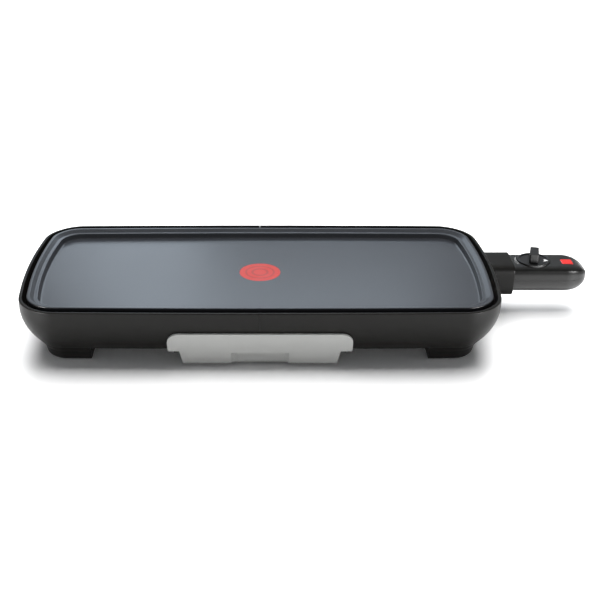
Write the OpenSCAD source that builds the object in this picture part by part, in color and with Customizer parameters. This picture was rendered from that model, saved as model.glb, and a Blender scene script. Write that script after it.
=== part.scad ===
// Electric table griddle: split plastic base, lift-off cast plate, front drip tray and a
// plug-in thermostat with a rotary dial. Millimetres, +Z up, cooking surface in the XY plane.

/* [Base shell] */
// Overall width of the base across its bowed sides
base_w = 521; // [440:1:640]
// Overall depth of the base across its bowed front and rear
base_d = 237; // [200:1:300]
// Corner radius of the base at its rim
base_corner_r = 38; // [30:1:60]
// How far the two short sides bow outwards
side_bow = 10.5; // [2:0.5:14]
// How far the front and rear bow outwards
front_bow = 2.5; // [0:0.5:6]
// Height of the base rim above the table
rim_z = 69; // [62:1:90]
// Height of the skirt's lower edge above the table
skirt_z = 18; // [16:1:26]
// How far the skirt tucks in at its lower edge
tuck = 18; // [8:1:24]
// Height of the straight band below the rim
band_h = 9; // [5:1:16]
// Thickness of the skirt wall
wall_t = 3; // [2:0.25:4]
// Thickness of the rim
rim_t = 3.4; // [2.5:0.1:5]
// Width of the floor flange inside the skirt
flange_w = 24; // [22:1:32]
// Thickness of the floor flange
flange_t = 4; // [3:0.5:6]
// Gap between the two halves of the base
seam_gap = 0.2; // [0.1:0.05:0.6]

/* [Feet] */
// Distance from the middle to the inner side of a foot
foot_in_x = 178; // [150:1:182]
// Distance from the middle to the inner end of a foot
foot_in_y = 60; // [50:1:62]
// Extra tuck of the feet below the skirt
foot_tuck = 2.5; // [0.5:0.5:6]
// Wall of a foot
foot_wall = 3; // [2:0.5:5]
// Radius of a rubber foot pad
pad_r = 9; // [6:0.5:12]
// How far a pad stands out below its foot
pad_stand = 1; // [0.5:0.25:2]
// How deep a pad sits in its foot
pad_seat = 2; // [1:0.25:3]

/* [Cooking plate] */
// Gap between base rim and plate at the short sides
gap_side = 5.1; // [3:0.1:10]
// Gap between base rim and plate at front and rear
gap_front = 7; // [3:0.1:12]
// How far the plate's rim stands above the base's rim
rim_rise = 1; // [0:0.5:6]
// Depth of the cooking surface below the plate's rim
pan_depth = 9; // [6:0.5:14]
// Thickness of the plate's floor
floor_t = 5; // [5:0.5:8]
// Height of the step inside the rim, below the rim's top
ledge_drop = 3; // [1:0.5:5]
// Radius of the temperature spot
spot_r = 23; // [12:1:32]
// Thickness of the temperature spot
spot_t = 0.6; // [0.4:0.1:1]
// Radius of the fat drain hole
drain_r = 3.5; // [2.5:0.25:5]
// Distance of the drain hole from the plate's outer edge
drain_in = 17.5; // [17.5:0.5:19]

/* [Heating] */
// Radius of the tubular heating element
element_r = 4; // [3:0.25:4.5]
// Distance of the element's long runs from the plate's middle line
element_y = 62; // [58:1:64]
// Distance of the element's far bend from the middle
element_x = 200; // [150:1:202]
// Bend radius of the element
element_bend = 20; // [14:1:22]
// Half distance between the two terminal pins
pin_pitch = 12; // [11.5:0.25:13]
// Radius of a terminal pin
pin_r = 2.3; // [1.8:0.1:2.6]

/* [Drip tray] */
// Width of the tray's box
tray_w = 148; // [110:1:156]
// Depth of the tray's box
tray_l = 170; // [120:1:180]
// Height of the tray's floor above the table
tray_z = 4; // [3:0.5:6]
// Thickness of the tray's walls
tray_t = 2; // [1.5:0.25:3]
// Width of the tray's front across its wings
panel_w = 194; // [176:1:240]
// Width of the tray's front below its wings
panel_low_w = 170; // [164:1:172]
// Height of the tray's front
panel_h = 42; // [34:1:46]
// Height of the part below the wings
panel_low_h = 18; // [14:1:20]
// Thickness of the tray's front
panel_t = 2.3; // [1.5:0.1:2.5]
// Width of the finger recess at its mouth
grip_w = 61; // [40:1:80]
// Height of the finger recess
grip_h = 15.5; // [10:0.5:17]
// Depth of the finger recess
grip_d = 5; // [3:0.5:6]

/* [Thermostat] */
// Distance of the thermostat's middle behind the plate's middle
thermo_y = 40.5; // [34:0.5:44]
// Half width of the thermostat's body
thermo_a = 22; // [19.5:0.5:23]
// Half height of the thermostat's body
thermo_b = 16.25; // [15.5:0.25:16.5]
// Length of the body outside the terminal shroud
thermo_len = 88.5; // [84:0.5:110]
// How far the terminal shroud stands out of the base
shroud_out = 31.5; // [24:0.5:38]
// Wall of the terminal shroud
shroud_t = 2.8; // [2:0.1:3.2]
// Wall of the thermostat's housing
shell_t = 2.2; // [1.8:0.1:2.4]
// Radius of the sensing probe
probe_r = 3; // [2:0.25:3.25]
// How far the probe reaches in front of the body
probe_len = 66; // [60:1:72]
// Radius of the dial's disc
dial_r = 18.5; // [14:0.5:19]
// Width of the dial's grip bar
bar_w = 10; // [6:0.2:12]
// Length of the dial's grip bar
bar_l = 23; // [14:1:26]
// Angle of the dial's grip bar at rest
bar_turn = -13; // [-45:1:45]
// Height of the dial's grip bar
bar_h = 10.5; // [5:0.5:10.5]
// Radius of the cord's bore in its gland
cord_r = 3.5; // [2.5:0.1:4]

/* [Fits] */
// Gap between parts that slide past each other
slide_gap = 0.4; // [0.3:0.05:0.6]
// Gap between a part and the seat that carries it
seat_gap = 0.3; // [0.2:0.05:0.4]
// Radial clearance of a fixed pin or screw in its hole
hole_gap = 0.05; // [0.02:0.01:0.1]
// Radius of a screw's shank
screw_r = 1.45; // [1.2:0.05:1.6]
// Radius of a screw's head
head_r = 2.8; // [2.4:0.1:3]
// Height of a screw's head
head_h = 1.8; // [1.2:0.1:2]

/* [Hidden] */
$fn = 48;

// Base shell: the skirt's straight band ends at belly_z and curves in below it
base_hw = base_w / 2;
base_hd = base_d / 2;
belly_z = rim_z - band_h;
flange_z = skirt_z + flange_t;
flange_in = tuck + flange_w;
corner_keep = 0.8;
rim_round = 1.5;
corner_steps = 8;
side_steps = 5;
front_steps = 7;
curve_steps = 6;
quarter_n = side_steps + corner_steps + front_steps;
through = 0.5;
sink = 1;

// Feet and pads
foot_z = pad_stand;
foot_step = 0.6;
foot_slope_h = 8;
foot_hollow_in = [12.5, 7.5];
foot_box_x = base_hw - side_bow - tuck - foot_tuck - foot_hollow_in[0];
foot_box_y = base_hd - front_bow - tuck - foot_tuck - foot_hollow_in[1];
pad_x = (foot_in_x + foot_box_x) / 2 + 1;
pad_y = (foot_in_y + foot_box_y) / 2 + 3;

// Screw posts that stand on the floor flange
mid_flange = base_hd - tuck - flange_w / 2;
post_r = 5;
post_y = base_hd - flange_in + post_r + 0.6;
post_x = [70, 166];
reflector_z = flange_z + 8;
reflector_t = 0.8;
reflector_hw = 208;
reflector_hd = post_y + post_r + seat_gap;
reflector_lip = 5;
seat_y = reflector_hd + post_r + 1.3;
seat_x = 150;
seat_h = 8;
plate_gap_z = seat_gap;

// Joint plates that bridge the two halves
joint_w = 80;
joint_t = 2.5;
joint_front = base_hd - tuck - 1;
joint_rear = base_hd - flange_in + 2.5;
joint_screw_x = [18, 33];
joint_screw_y = (joint_front + joint_rear) / 2;

// Cooking plate
plate_top = rim_z + rim_rise;
plate_hw = base_hw - rim_t - gap_side;
plate_hd = base_hd - rim_t - gap_front;
plate_corner_r = base_corner_r - rim_t - gap_side - 0.5;
surf_z = plate_top - pan_depth;
under_z = surf_z - floor_t;
ledge_z = plate_top - ledge_drop;
drain_y = -(plate_hd - drain_in);
spout_r = drain_r + 2.5;
spout_z = flange_z - 2.5;
spout_gap = 1.5;

// Heating element and what holds it
element_z = under_z - element_r - 0.2;
element_far = 30;
front_run = -element_y;
rear_run = thermo_y + pin_pitch;
cold_x = 160;
link_x = 212;
link_t = 3;
link_w = 7;
clamp_x = 110;
clamp_w = 10;
clamp_t = 1.5;
clamp_pitch = 9;
clamp_z = element_z - element_r - 0.1;
clamp_boss_r = 3.5;

// Thermostat and its socket, along X at the height thermo_z
thermo_z = 41;
shroud_x = base_hw + shroud_out;
nose_x = base_hw - 4.5;
wall_x = nose_x - 2.5;
back_t = 2.7;
shroud_drop = 1;
end_x = shroud_x + thermo_len;
end_len = 28;
pin_z = thermo_z + 1;
earth_z = thermo_z - 8;
probe_z = thermo_z + 7;
pin_out = 18;
bracket_x = wall_x - back_t - 14.8;
bracket_t = 1.5;
bracket_hw = 22;
bracket_screw_y = bracket_hw - 5;
bracket_low = thermo_z - 12;
flange_len = 18;
bush_r = 5;
bush_x = bracket_x - 8;
lug_y = 19;
lug_z = bracket_low + 5;
lug_r = 3.4;
boss_x = bracket_x - 10;
boss_len = 40;
boss_hw = 7;
boss_low = probe_z - probe_r - 2.5;
probe_tip = nose_x - probe_len;
notch_hw = thermo_a + slide_gap + shroud_t + 2.8;
notch_z = skirt_z + 1.5;
collar_z = notch_z + 0.5;

// Section of the thermostat: number of points, and how square its top and its belly are
section_n = 28;
top_power = 6;
low_power = 4;

// Inside the thermostat
inner_a = thermo_a - shell_t;
inner_b = thermo_b - shell_t;
block_l = 17.5;
sleeve_r = 4;
sleeve_l = 23;
dial_x = shroud_x + 26;
dial_seat_z = thermo_z + thermo_b - 2;
dial_t = 3;
dial_z = dial_seat_z + slide_gap;
dial_pad_t = 2.2;
spindle_r = 3;
spindle_gap = 0.08;
cam_r = 5.5;
cam_z = pin_z;
cam_t = 2.5;
blade_y = [-6, -1];
blade_t = 0.8;
blade_z = [thermo_z - 5, thermo_z - 1.2];
blade_l = 44;
switch_x = nose_x + block_l + 12;
lamp_x = end_x - 25;
lamp_y = -4;
lens_w = 12.8;
lens_flange = 0.9;
lens_flange_z = [thermo_z + 10.2, thermo_z + 11.6];
screw_posts = [[dial_x - 10, -12.3], [end_x - 22, 8.5]];
gland_x = end_x - 35;
gland_r = 6;
gland_in = 13.5;
gland_out = 26;

// Drip tray, carried by its side lips on two runners
tray_hw = tray_w / 2;
tray_top = skirt_z - 1.5;
lip_w = 5.5;
lip_t = 1.5;
runner_t = 3;
runner_lip_t = 2;
runner_y = joint_front - 1;
runner_tab_w = 12;
runner_screw_y = mid_flange;
runner_web = tray_hw + lip_w + slide_gap;
runner_x = runner_web + runner_tab_w / 2 + 1;
panel_lean = atan(2 * tuck / (3 * (rim_z - skirt_z))) + 3;
panel_round = 12;
panel_gap = 0.5;
panel_rise = 27;
panel_low_taper = 3.5;
tray_front = base_hd - tuck + 3.5;
grip_taper = 5.4;

// The object stands with the middle of its bounding box over the origin
centre_x = (end_x - base_hw) / 2;

// ---- Outlines ----

// A quarter of a rounded rectangle with bowed sides, from the +X middle to the +Y middle
function quarter(hw, hd, r, bs, bf) = [for (k = [0:quarter_n])
    let (a = 90 * (k - side_steps) / corner_steps,
        x = k <= side_steps ? hw : k <= side_steps + corner_steps ? hw - r + r * cos(a)
            : (hw - r) * (quarter_n - k) / front_steps,
        y = k <= side_steps ? (hd - r) * k / side_steps
            : k <= side_steps + corner_steps ? hd - r + r * sin(a) : hd)
    [x - bs * x / hw * pow(y / hd, 2), y - bf * y / hd * pow(x / hw, 2)]];

// The whole outline, counter-clockwise from the +X middle
function outline(hw, hd, r, bs, bf) = let (q = quarter(hw, hd, r, bs, bf), n = quarter_n) concat(
    [for (k = [0:n - 1]) q[k]], [for (k = [n:-1:1]) [-q[k][0], q[k][1]]],
    [for (k = [0:n - 1]) [-q[k][0], -q[k][1]]], [for (k = [n:-1:1]) [q[k][0], -q[k][1]]]);

function base_outline(inset) = outline(base_hw - inset, base_hd - inset,
    base_corner_r - corner_keep * inset, side_bow, front_bow);

function plate_outline(inset) = outline(plate_hw - inset, plate_hd - inset,
    plate_corner_r - corner_keep * inset, side_bow * plate_hd / base_hd * 0.87, front_bow);

// Inset of the skirt's outer face at the height z
function skirt_in(z) = z > belly_z ? 0 : tuck * pow((belly_z - z) / (belly_z - skirt_z), 2);

// The skirt's section as [inset, z]: up the outside, over the rim, down to the floor flange
skirt_section = concat(
    [for (k = [0:curve_steps]) let (z = skirt_z + (belly_z - skirt_z) * k / curve_steps)
        [skirt_in(z), z]],
    [[0, rim_z - rim_round], [rim_round * 0.3, rim_z - rim_round * 0.3], [rim_round, rim_z],
        [rim_t - 0.8, rim_z], [rim_t, rim_z - 0.8], [rim_t, belly_z]],
    [for (k = [curve_steps - 1:-1:1])
        let (z = flange_z + (belly_z - flange_z) * k / curve_steps) [skirt_in(z) + wall_t, z]],
    [[skirt_in(flange_z) + wall_t, flange_z], [flange_in, flange_z], [flange_in, skirt_z]]);

// The plate's profile as [inset, z], from its underside over the rim to the cooking surface
plate_profile = [[4, under_z], [3.2, under_z + 1], [1.4, surf_z], [0.2, plate_top - 1.4],
    [0.5, plate_top - 0.4], [1.2, plate_top], [2.6, plate_top], [3.4, plate_top - 0.3],
    [6.6, ledge_z + 0.4], [7.4, ledge_z + 0.1], [9.6, ledge_z], [10.4, ledge_z - 0.3],
    [11, ledge_z - 1.2], [11.6, surf_z + 1.6], [12.4, surf_z + 0.5], [14, surf_z]];

// ---- Solids from outlines ----

// Triangles between the loops a and b, each of n points, closed round when shut is true
function band(a, b, n, shut) = [for (k = [0:(shut ? n - 1 : n - 2)]) let (m = (k + 1) % n)
    each [[a + k, b + k, b + m], [a + k, b + m, a + m]]];

// A closed body through a stack of rings with n points each, its ends capped
module ring_stack(rings) {
    n = len(rings[0]);
    last = len(rings) - 1;
    polyhedron(points = [for (ring = rings) each ring],
        faces = concat([for (j = [0:last - 1]) each band(j * n, (j + 1) * n, n, true)],
            [[for (k = [0:n - 1]) k]], [[for (k = [n - 1:-1:0]) last * n + k]]),
        convexity = 6);
}

function at_height(pts, z) = [for (p = pts) [p[0], p[1], z]];

// The left half of the base's skirt: the section swept along the outline
module skirt_half() {
    n = 2 * quarter_n + 1;
    m = len(skirt_section);
    loops = [for (s = skirt_section) let (o = base_outline(s[0]))
        [for (k = [0:n - 1]) let (p = o[quarter_n + k]) [p[0], p[1], s[1]]]];
    polyhedron(points = [for (l = loops) each l],
        faces = concat([for (j = [0:m - 1]) each band(j * n, ((j + 1) % m) * n, n, false)],
            [[for (j = [m - 1:-1:0]) j * n]], [[for (j = [0:m - 1]) j * n + n - 1]]),
        convexity = 8);
}

// A box given by its lowest and highest corners
module block(lo, hi) {
    translate(lo) cube(hi - lo);
}

// A cylinder along Z, along X or along Y, between two stations
module rod_z(x, y, r, z0, z1) {
    translate([x, y, z0]) cylinder(r = r, h = z1 - z0);
}
module rod_x(y, z, r, x0, x1) {
    translate([x0, y, z]) rotate([0, 90, 0]) cylinder(r = r, h = x1 - x0);
}
module rod_y(x, z, r, y0, y1) {
    translate([x, y0, z]) rotate([-90, 0, 0]) cylinder(r = r, h = y1 - y0);
}

// A screw along Z whose head lies beyond z_head, up or down
module screw_up(x, y, z_head, z_tip) {
    rod_z(x, y, screw_r, z_head - through, z_tip);
    rod_z(x, y, head_r, z_head - head_h, z_head);
}
module screw_down(x, y, z_head, z_tip) {
    rod_z(x, y, screw_r, z_tip, z_head + through);
    rod_z(x, y, head_r, z_head, z_head + head_h);
}

// ---- Base ----

module foot(sy) {
    profile = [[tuck + foot_tuck + 0.8, foot_z], [tuck + foot_tuck, foot_z + 1],
        [tuck + foot_tuck, skirt_z - foot_slope_h], [tuck + foot_step, skirt_z],
        [tuck + foot_step, skirt_z + sink]];
    difference() {
        intersection() {
            ring_stack([for (p = profile) at_height(base_outline(p[0]), p[1])]);
            block([-base_hw, sy > 0 ? foot_in_y : -base_hd, 0],
                [-foot_in_x, sy > 0 ? base_hd : -foot_in_y, rim_z]);
        }
        rod_z(-pad_x, sy * pad_y, pad_r + hole_gap, 0, foot_z + pad_seat);
    }
}

// The hollow inside a foot, open upwards
module foot_hollow(sy) {
    y0 = foot_in_y + foot_wall;
    z0 = foot_z + pad_seat + foot_wall / 2;
    block([-foot_box_x, sy > 0 ? y0 : -foot_box_y, z0],
        [-foot_in_x - foot_wall, sy > 0 ? foot_box_y : -y0, flange_z + through]);
}

// Posts for the reflector and seats for the plate, with the holes of one half
module base_posts() {
    for (sy = [-1, 1]) {
        for (x = post_x) rod_z(-x, sy * post_y, post_r, flange_z - sink, reflector_z);
        rod_z(-seat_x, sy * seat_y, post_r, flange_z - sink, under_z - seat_h - plate_gap_z);
    }
}

module base_holes() {
    hole = screw_r + hole_gap;
    for (sy = [-1, 1]) {
        for (x = post_x) rod_z(-x, sy * post_y, hole, flange_z - 2, reflector_z + through);
        for (x = joint_screw_x)
            rod_z(-x, sy * joint_screw_y, hole, skirt_z + 0.6, flange_z + through);
        rod_z(-runner_x, sy * runner_screw_y, hole, skirt_z - through, flange_z + through);
    }
    rod_z(0, drain_y, spout_r + spout_gap, skirt_z - through, flange_z + through);
}

// The left half; the right one is its mirror image, notched for the terminal shroud
module base_half(notched) {
    translate([-seam_gap / 2, 0, 0]) difference() {
        union() {
            skirt_half();
            for (sy = [-1, 1]) foot(sy);
            base_posts();
        }
        for (sy = [-1, 1]) foot_hollow(sy);
        base_holes();
        if (notched)
            block([-base_hw - sink, thermo_y - notch_hw, notch_z],
                [-base_hw + flange_in + sink, thermo_y + notch_hw, rim_z + sink]);
    }
}

module base_left() {
    color([0.13, 0.13, 0.13]) base_half(false);
}

module base_right() {
    color([0.13, 0.13, 0.13]) mirror([1, 0, 0]) base_half(true);
}

module joint_plate(sy) {
    difference() {
        block([-joint_w / 2, sy > 0 ? joint_rear : -joint_front, flange_z],
            [joint_w / 2, sy > 0 ? joint_front : -joint_rear, flange_z + joint_t]);
        for (sx = [-1, 1], x = joint_screw_x)
            rod_z(sx * x, sy * joint_screw_y, screw_r + 3 * hole_gap, flange_z - sink,
                flange_z + joint_t + sink);
        if (sy < 0)
            rod_z(0, drain_y, spout_r + spout_gap, flange_z - sink, flange_z + joint_t + sink);
    }
}

module front_joint_plate() {
    color("silver") joint_plate(-1);
}

module rear_joint_plate() {
    color("silver") joint_plate(1);
}

module joint_screws() {
    color("dimgray") for (sx = [-1, 1], sy = [-1, 1], x = joint_screw_x)
        screw_down(sx * (x + seam_gap / 2), sy * joint_screw_y, flange_z + joint_t, skirt_z + 1);
}

module foot_pads() {
    color([0.2, 0.2, 0.2]) for (sx = [-1, 1], sy = [-1, 1])
        rod_z(sx * (pad_x + seam_gap / 2), sy * pad_y, pad_r, 0, foot_z + pad_seat);
}

module tray_runner(sx) {
    z0 = tray_top - lip_t - seat_gap - runner_lip_t;
    difference() {
        union() {
            for (p = [[tray_hw + slide_gap, runner_web + runner_t, z0, z0 + runner_lip_t],
                    [runner_web, runner_web + runner_t, z0, skirt_z]])
                block([sx > 0 ? p[0] : -p[1], -runner_y, p[2]],
                    [sx > 0 ? p[1] : -p[0], runner_y, p[3]]);
            for (sy = [-1, 1])
                block([sx > 0 ? runner_web : -runner_web - runner_tab_w,
                        sy > 0 ? runner_y - flange_w + 6 : -runner_y, z0],
                    [sx > 0 ? runner_web + runner_tab_w : -runner_web,
                        sy > 0 ? runner_y : -runner_y + flange_w - 6, skirt_z]);
        }
        for (sy = [-1, 1])
            rod_z(sx * (runner_x + seam_gap / 2), sy * runner_screw_y, screw_r + hole_gap,
                z0 + 0.6, skirt_z + sink);
    }
}

module tray_runner_left() {
    color([0.16, 0.16, 0.16]) tray_runner(-1);
}

module tray_runner_right() {
    color([0.16, 0.16, 0.16]) tray_runner(1);
}

module runner_screws() {
    color("dimgray") for (sx = [-1, 1], sy = [-1, 1])
        screw_down(sx * (runner_x + seam_gap / 2), sy * runner_screw_y, flange_z, skirt_z - 3);
}

// A shallow steel pan under the plate that keeps the table cool
module heat_reflector() {
    color("lightgray") difference() {
        block([-reflector_hw, -reflector_hd, reflector_z],
            [reflector_hw, reflector_hd, reflector_z + reflector_lip]);
        block([-reflector_hw + reflector_t, -reflector_hd + reflector_t, reflector_z + reflector_t],
            [reflector_hw - reflector_t, reflector_hd - reflector_t, reflector_z + rim_z]);
        for (sx = [-1, 1], sy = [-1, 1], x = post_x)
            rod_z(sx * (x + seam_gap / 2), sy * post_y, screw_r + 3 * hole_gap,
                reflector_z - sink, reflector_z + sink);
        rod_z(0, drain_y, spout_r + spout_gap, reflector_z - sink, rim_z);
    }
}

module reflector_screws() {
    color("dimgray") for (sx = [-1, 1], sy = [-1, 1], x = post_x)
        screw_down(sx * (x + seam_gap / 2), sy * post_y, reflector_z + reflector_t,
            flange_z - 1.5);
}

// ---- Plate ----

module cooking_plate() {
    hole = screw_r + hole_gap;
    color([0.25, 0.27, 0.3]) difference() {
        union() {
            ring_stack([for (p = plate_profile) at_height(plate_outline(p[0]), p[1])]);
            rod_z(0, drain_y, spout_r, spout_z, under_z + sink);
            block([boss_x - boss_len, thermo_y - boss_hw, boss_low],
                [boss_x, thermo_y + boss_hw, under_z + sink]);
            for (sx = [-1, 1]) {
                for (sy = [-1, 1])
                    rod_z(sx * seat_x, sy * seat_y, post_r - 1, under_z - seat_h, under_z + sink);
                for (y = [front_run, rear_run], e = [-1, 1])
                    rod_z(sx * clamp_x, y + e * clamp_pitch, clamp_boss_r, clamp_z,
                        under_z + sink);
            }
        }
        rod_z(0, drain_y, drain_r, spout_z - sink, plate_top);
        rod_x(thermo_y, probe_z, probe_r + slide_gap, probe_tip - slide_gap, boss_x + sink);
        rod_z(0, 0, spot_r + hole_gap, surf_z - spot_t, plate_top);
        for (sx = [-1, 1], y = [front_run, rear_run], e = [-1, 1])
            rod_z(sx * clamp_x, y + e * clamp_pitch, hole, clamp_z - sink, under_z + 1);
        for (sy = [-1, 1])
            rod_z(bracket_x - flange_len / 2, thermo_y + sy * bracket_screw_y, hole,
                under_z - sink, surf_z - 1.2);
    }
}

module heat_spot() {
    color("red") rod_z(0, 0, spot_r, surf_z - spot_t, surf_z);
}

// A quarter turn of the element from angle a, about a centre
module element_turn(x, y, r, a) {
    translate([x, y, element_z]) rotate([0, 0, a])
        rotate_extrude(angle = 90) translate([r, 0]) circle(r = element_r);
}

// Two long runs joined at the left; the front one bends back to its cold end at the right
module heating_element() {
    far = element_far;
    bend = element_bend;
    near_x = cold_x - bend;
    cold = thermo_y - pin_pitch;
    color("gray") union() {
        rod_y(-element_x, element_z, element_r, front_run + far, rear_run - far);
        element_turn(-element_x + far, rear_run - far, far, 90);
        element_turn(-element_x + far, front_run + far, far, 180);
        rod_x(rear_run, element_z, element_r, -element_x + far, link_x);
        rod_x(front_run, element_z, element_r, -element_x + far, near_x - bend);
        element_turn(near_x - bend, front_run + bend, bend, -90);
        rod_y(near_x, element_z, element_r, front_run + bend, cold - bend);
        element_turn(cold_x, cold - bend, bend, 90);
        rod_x(cold, element_z, element_r, cold_x, link_x);
    }
}

module element_clamps() {
    reach = clamp_pitch + clamp_boss_r + 1.5;
    color("silver") for (sx = [-1, 1], y = [front_run, rear_run]) difference() {
        block([sx * clamp_x - clamp_w / 2, y - reach, clamp_z - clamp_t],
            [sx * clamp_x + clamp_w / 2, y + reach, clamp_z]);
        for (e = [-1, 1])
            rod_z(sx * clamp_x, y + e * clamp_pitch, screw_r + 3 * hole_gap,
                clamp_z - clamp_t - sink, clamp_z + sink);
    }
}

module clamp_screws() {
    color("dimgray") for (sx = [-1, 1], y = [front_run, rear_run], e = [-1, 1])
        screw_up(sx * clamp_x, y + e * clamp_pitch, clamp_z - clamp_t, under_z + 0.5);
}

// Straps that carry the current down from the element's ends to the pins
module terminal_links() {
    color("silver") for (sy = [-1, 1])
        block([link_x, sy * pin_pitch - link_w / 2, pin_z - link_w / 2],
            [link_x + link_t, sy * pin_pitch + link_w / 2, element_z + 3]);
}

module terminal_pins() {
    color("gold") for (sy = [-1, 1])
        rod_x(sy * pin_pitch, pin_z, pin_r, link_x + link_t, wall_x + pin_out);
}

module earth_pin() {
    color("gold") union() {
        rod_x(0, earth_z, pin_r, bracket_x - 2, wall_x + pin_out - 3);
        rod_x(0, earth_z, pin_r + 1.6, bracket_x - 2.5, bracket_x);
    }
}

module terminal_bushes() {
    color("ivory") for (sy = [-1, 1]) difference() {
        rod_x(sy * pin_pitch, pin_z, bush_r, bush_x, wall_x - back_t - seat_gap);
        rod_x(sy * pin_pitch, pin_z, pin_r + hole_gap, bush_x - sink, wall_x);
    }
}

module terminal_bracket() {
    top = under_z - bracket_t;
    color("silver") difference() {
        union() {
            block([bracket_x, -bracket_hw, bracket_low],
                [bracket_x + bracket_t, bracket_hw, under_z]);
            block([bracket_x - flange_len, -bracket_hw, top],
                [bracket_x + bracket_t, bracket_hw, under_z]);
        }
        for (sy = [-1, 1]) {
            rod_x(sy * pin_pitch, pin_z, bush_r + hole_gap, bracket_x - sink,
                bracket_x + bracket_t + sink);
            rod_x(sy * lug_y, lug_z, screw_r + 3 * hole_gap, bracket_x - sink,
                bracket_x + bracket_t + sink);
            rod_z(bracket_x - flange_len / 2, sy * bracket_screw_y, screw_r + 3 * hole_gap,
                top - sink, under_z + sink);
        }
        rod_x(0, probe_z, probe_r + slide_gap, bracket_x - sink, bracket_x + bracket_t + sink);
        rod_x(0, earth_z, pin_r + hole_gap, bracket_x - sink, bracket_x + bracket_t + sink);
        block([bracket_x - flange_len - sink, -boss_hw - slide_gap, top - sink],
            [boss_x + slide_gap, boss_hw + slide_gap, under_z + sink]);
    }
}

module bracket_screws() {
    color("dimgray") for (sy = [-1, 1])
        screw_up(bracket_x - flange_len / 2, sy * bracket_screw_y, under_z - bracket_t,
            surf_z - 1.5);
}

// ---- Sections of the thermostat and its shroud, in the YZ plane ----

function signed_pow(v, p) = sign(v) * pow(abs(v), p);

// A rounded box section, flatter on top than below
function thermo_ring(x, a, b) = [for (k = [0:section_n - 1])
    let (t = 360 * k / section_n, p = 2 / (sin(t) > 0 ? top_power : low_power))
    [x, a * signed_pow(cos(t), p), thermo_z + b * signed_pow(sin(t), p)]];

module thermo_tube(x0, x1, a, b) {
    ring_stack([thermo_ring(x0, a, b), thermo_ring(x1, a, b)]);
}

// The body's envelope, drawn in by skin and closed by a round end
module thermo_body(x0, skin) {
    straight = end_x - end_len;
    reach = end_len - skin;
    ring_stack(concat([thermo_ring(x0, thermo_a - skin, thermo_b - skin)],
        [for (t = [0, 0.25, 0.45, 0.62, 0.76, 0.87, 0.94, 0.98]) thermo_ring(
            straight + reach * t, (thermo_a - skin) * sqrt(1 - t * t),
            (thermo_b - skin) * sqrt(1 - t * t))]));
}

// The collar carries on the line of the base's skirt where the notch opens it
module collar() {
    hw = notch_hw - slide_gap;
    steps = 4;
    section = concat([for (k = [0:curve_steps])
            let (z = collar_z + (belly_z - collar_z) * k / curve_steps) [skirt_in(z), z]],
        [[0, rim_z - rim_round], [rim_round * 0.3, rim_z - rim_round * 0.3],
            [rim_round, rim_z], [rim_t - 0.8, rim_z], [rim_t, rim_z - 0.8], [rim_t, belly_z]],
        [for (k = [curve_steps - 1:-1:0])
            let (z = collar_z + (belly_z - collar_z) * k / curve_steps)
            [skirt_in(z) + wall_t, z]]);
    ring_stack([for (j = [0:steps]) let (y = hw - 2 * hw * j / steps)
        [for (s = section) let (w = base_hw - s[0])
            [w - side_bow * pow((thermo_y + y) / (base_hd - s[0]), 2), y, s[1]]]]);
}

module terminal_shroud() {
    a = thermo_a + slide_gap;
    b = thermo_b + slide_gap;
    color([0.13, 0.13, 0.13]) difference() {
        union() {
            difference() {
                collar();
                block([0, -a, 0], [wall_x - back_t, a, thermo_z + b]);
            }
            difference() {
                translate([0, 0, -shroud_drop])
                    thermo_tube(wall_x - back_t, shroud_x, a + shroud_t, b + shroud_t);
                block([wall_x - back_t - sink, -base_hd, under_z - seat_gap],
                    [plate_hw + slide_gap, base_hd, rim_z]);
            }
            for (sy = [-1, 1])
                rod_x(sy * lug_y, lug_z, lug_r, bracket_x + bracket_t, wall_x - back_t + sink);
        }
        thermo_tube(wall_x, shroud_x + sink, a, b);
        for (sy = [-1, 1]) {
            rod_x(sy * pin_pitch, pin_z, pin_r + slide_gap, bracket_x, wall_x + sink);
            rod_x(sy * lug_y, lug_z, screw_r + hole_gap, bracket_x, wall_x - back_t);
        }
        rod_x(0, probe_z, probe_r + slide_gap, bracket_x, wall_x + sink);
        rod_x(0, earth_z, pin_r + slide_gap, bracket_x, wall_x + sink);
    }
}

module shroud_screws() {
    color("dimgray") for (sy = [-1, 1]) union() {
        rod_x(sy * lug_y, lug_z, screw_r, bracket_x - through, wall_x - back_t - 3);
        rod_x(sy * lug_y, lug_z, head_r, bracket_x - head_h, bracket_x);
    }
}

// ---- Thermostat ----

module housing_shell() {
    difference() {
        thermo_body(nose_x, 0);
        thermo_body(nose_x - sink, shell_t);
    }
}

module gland_hole() {
    rod_y(gland_x, thermo_z, gland_r + hole_gap, inner_a - 4, thermo_a + sink);
}

module housing_top() {
    color([0.14, 0.14, 0.14]) difference() {
        union() {
            housing_shell();
            intersection() {
                thermo_body(nose_x, shell_t / 2);
                rod_z(dial_x, 0, dial_r + 2, dial_seat_z - dial_pad_t, dial_seat_z + through);
            }
            for (p = screw_posts)
                rod_z(p[0], p[1], clamp_boss_r - 0.3, thermo_z, thermo_z + inner_b - 0.6);
        }
        block([nose_x - 2 * sink, -thermo_a - sink, 0],
            [end_x + sink, thermo_a + sink, thermo_z + seam_gap / 2]);
        rod_z(dial_x, 0, dial_r + 0.6, dial_seat_z, rim_z);
        rod_z(dial_x, 0, spindle_r + spindle_gap, thermo_z, rim_z);
        block([lamp_x - lens_w / 2 - seam_gap / 2, lamp_y - lens_w / 2 - seam_gap / 2, thermo_z],
            [lamp_x + lens_w / 2 + seam_gap / 2, lamp_y + lens_w / 2 + seam_gap / 2, rim_z]);
        gland_hole();
        for (p = screw_posts)
            rod_z(p[0], p[1], screw_r + hole_gap, thermo_z - sink, thermo_z + 9);
    }
}

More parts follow.
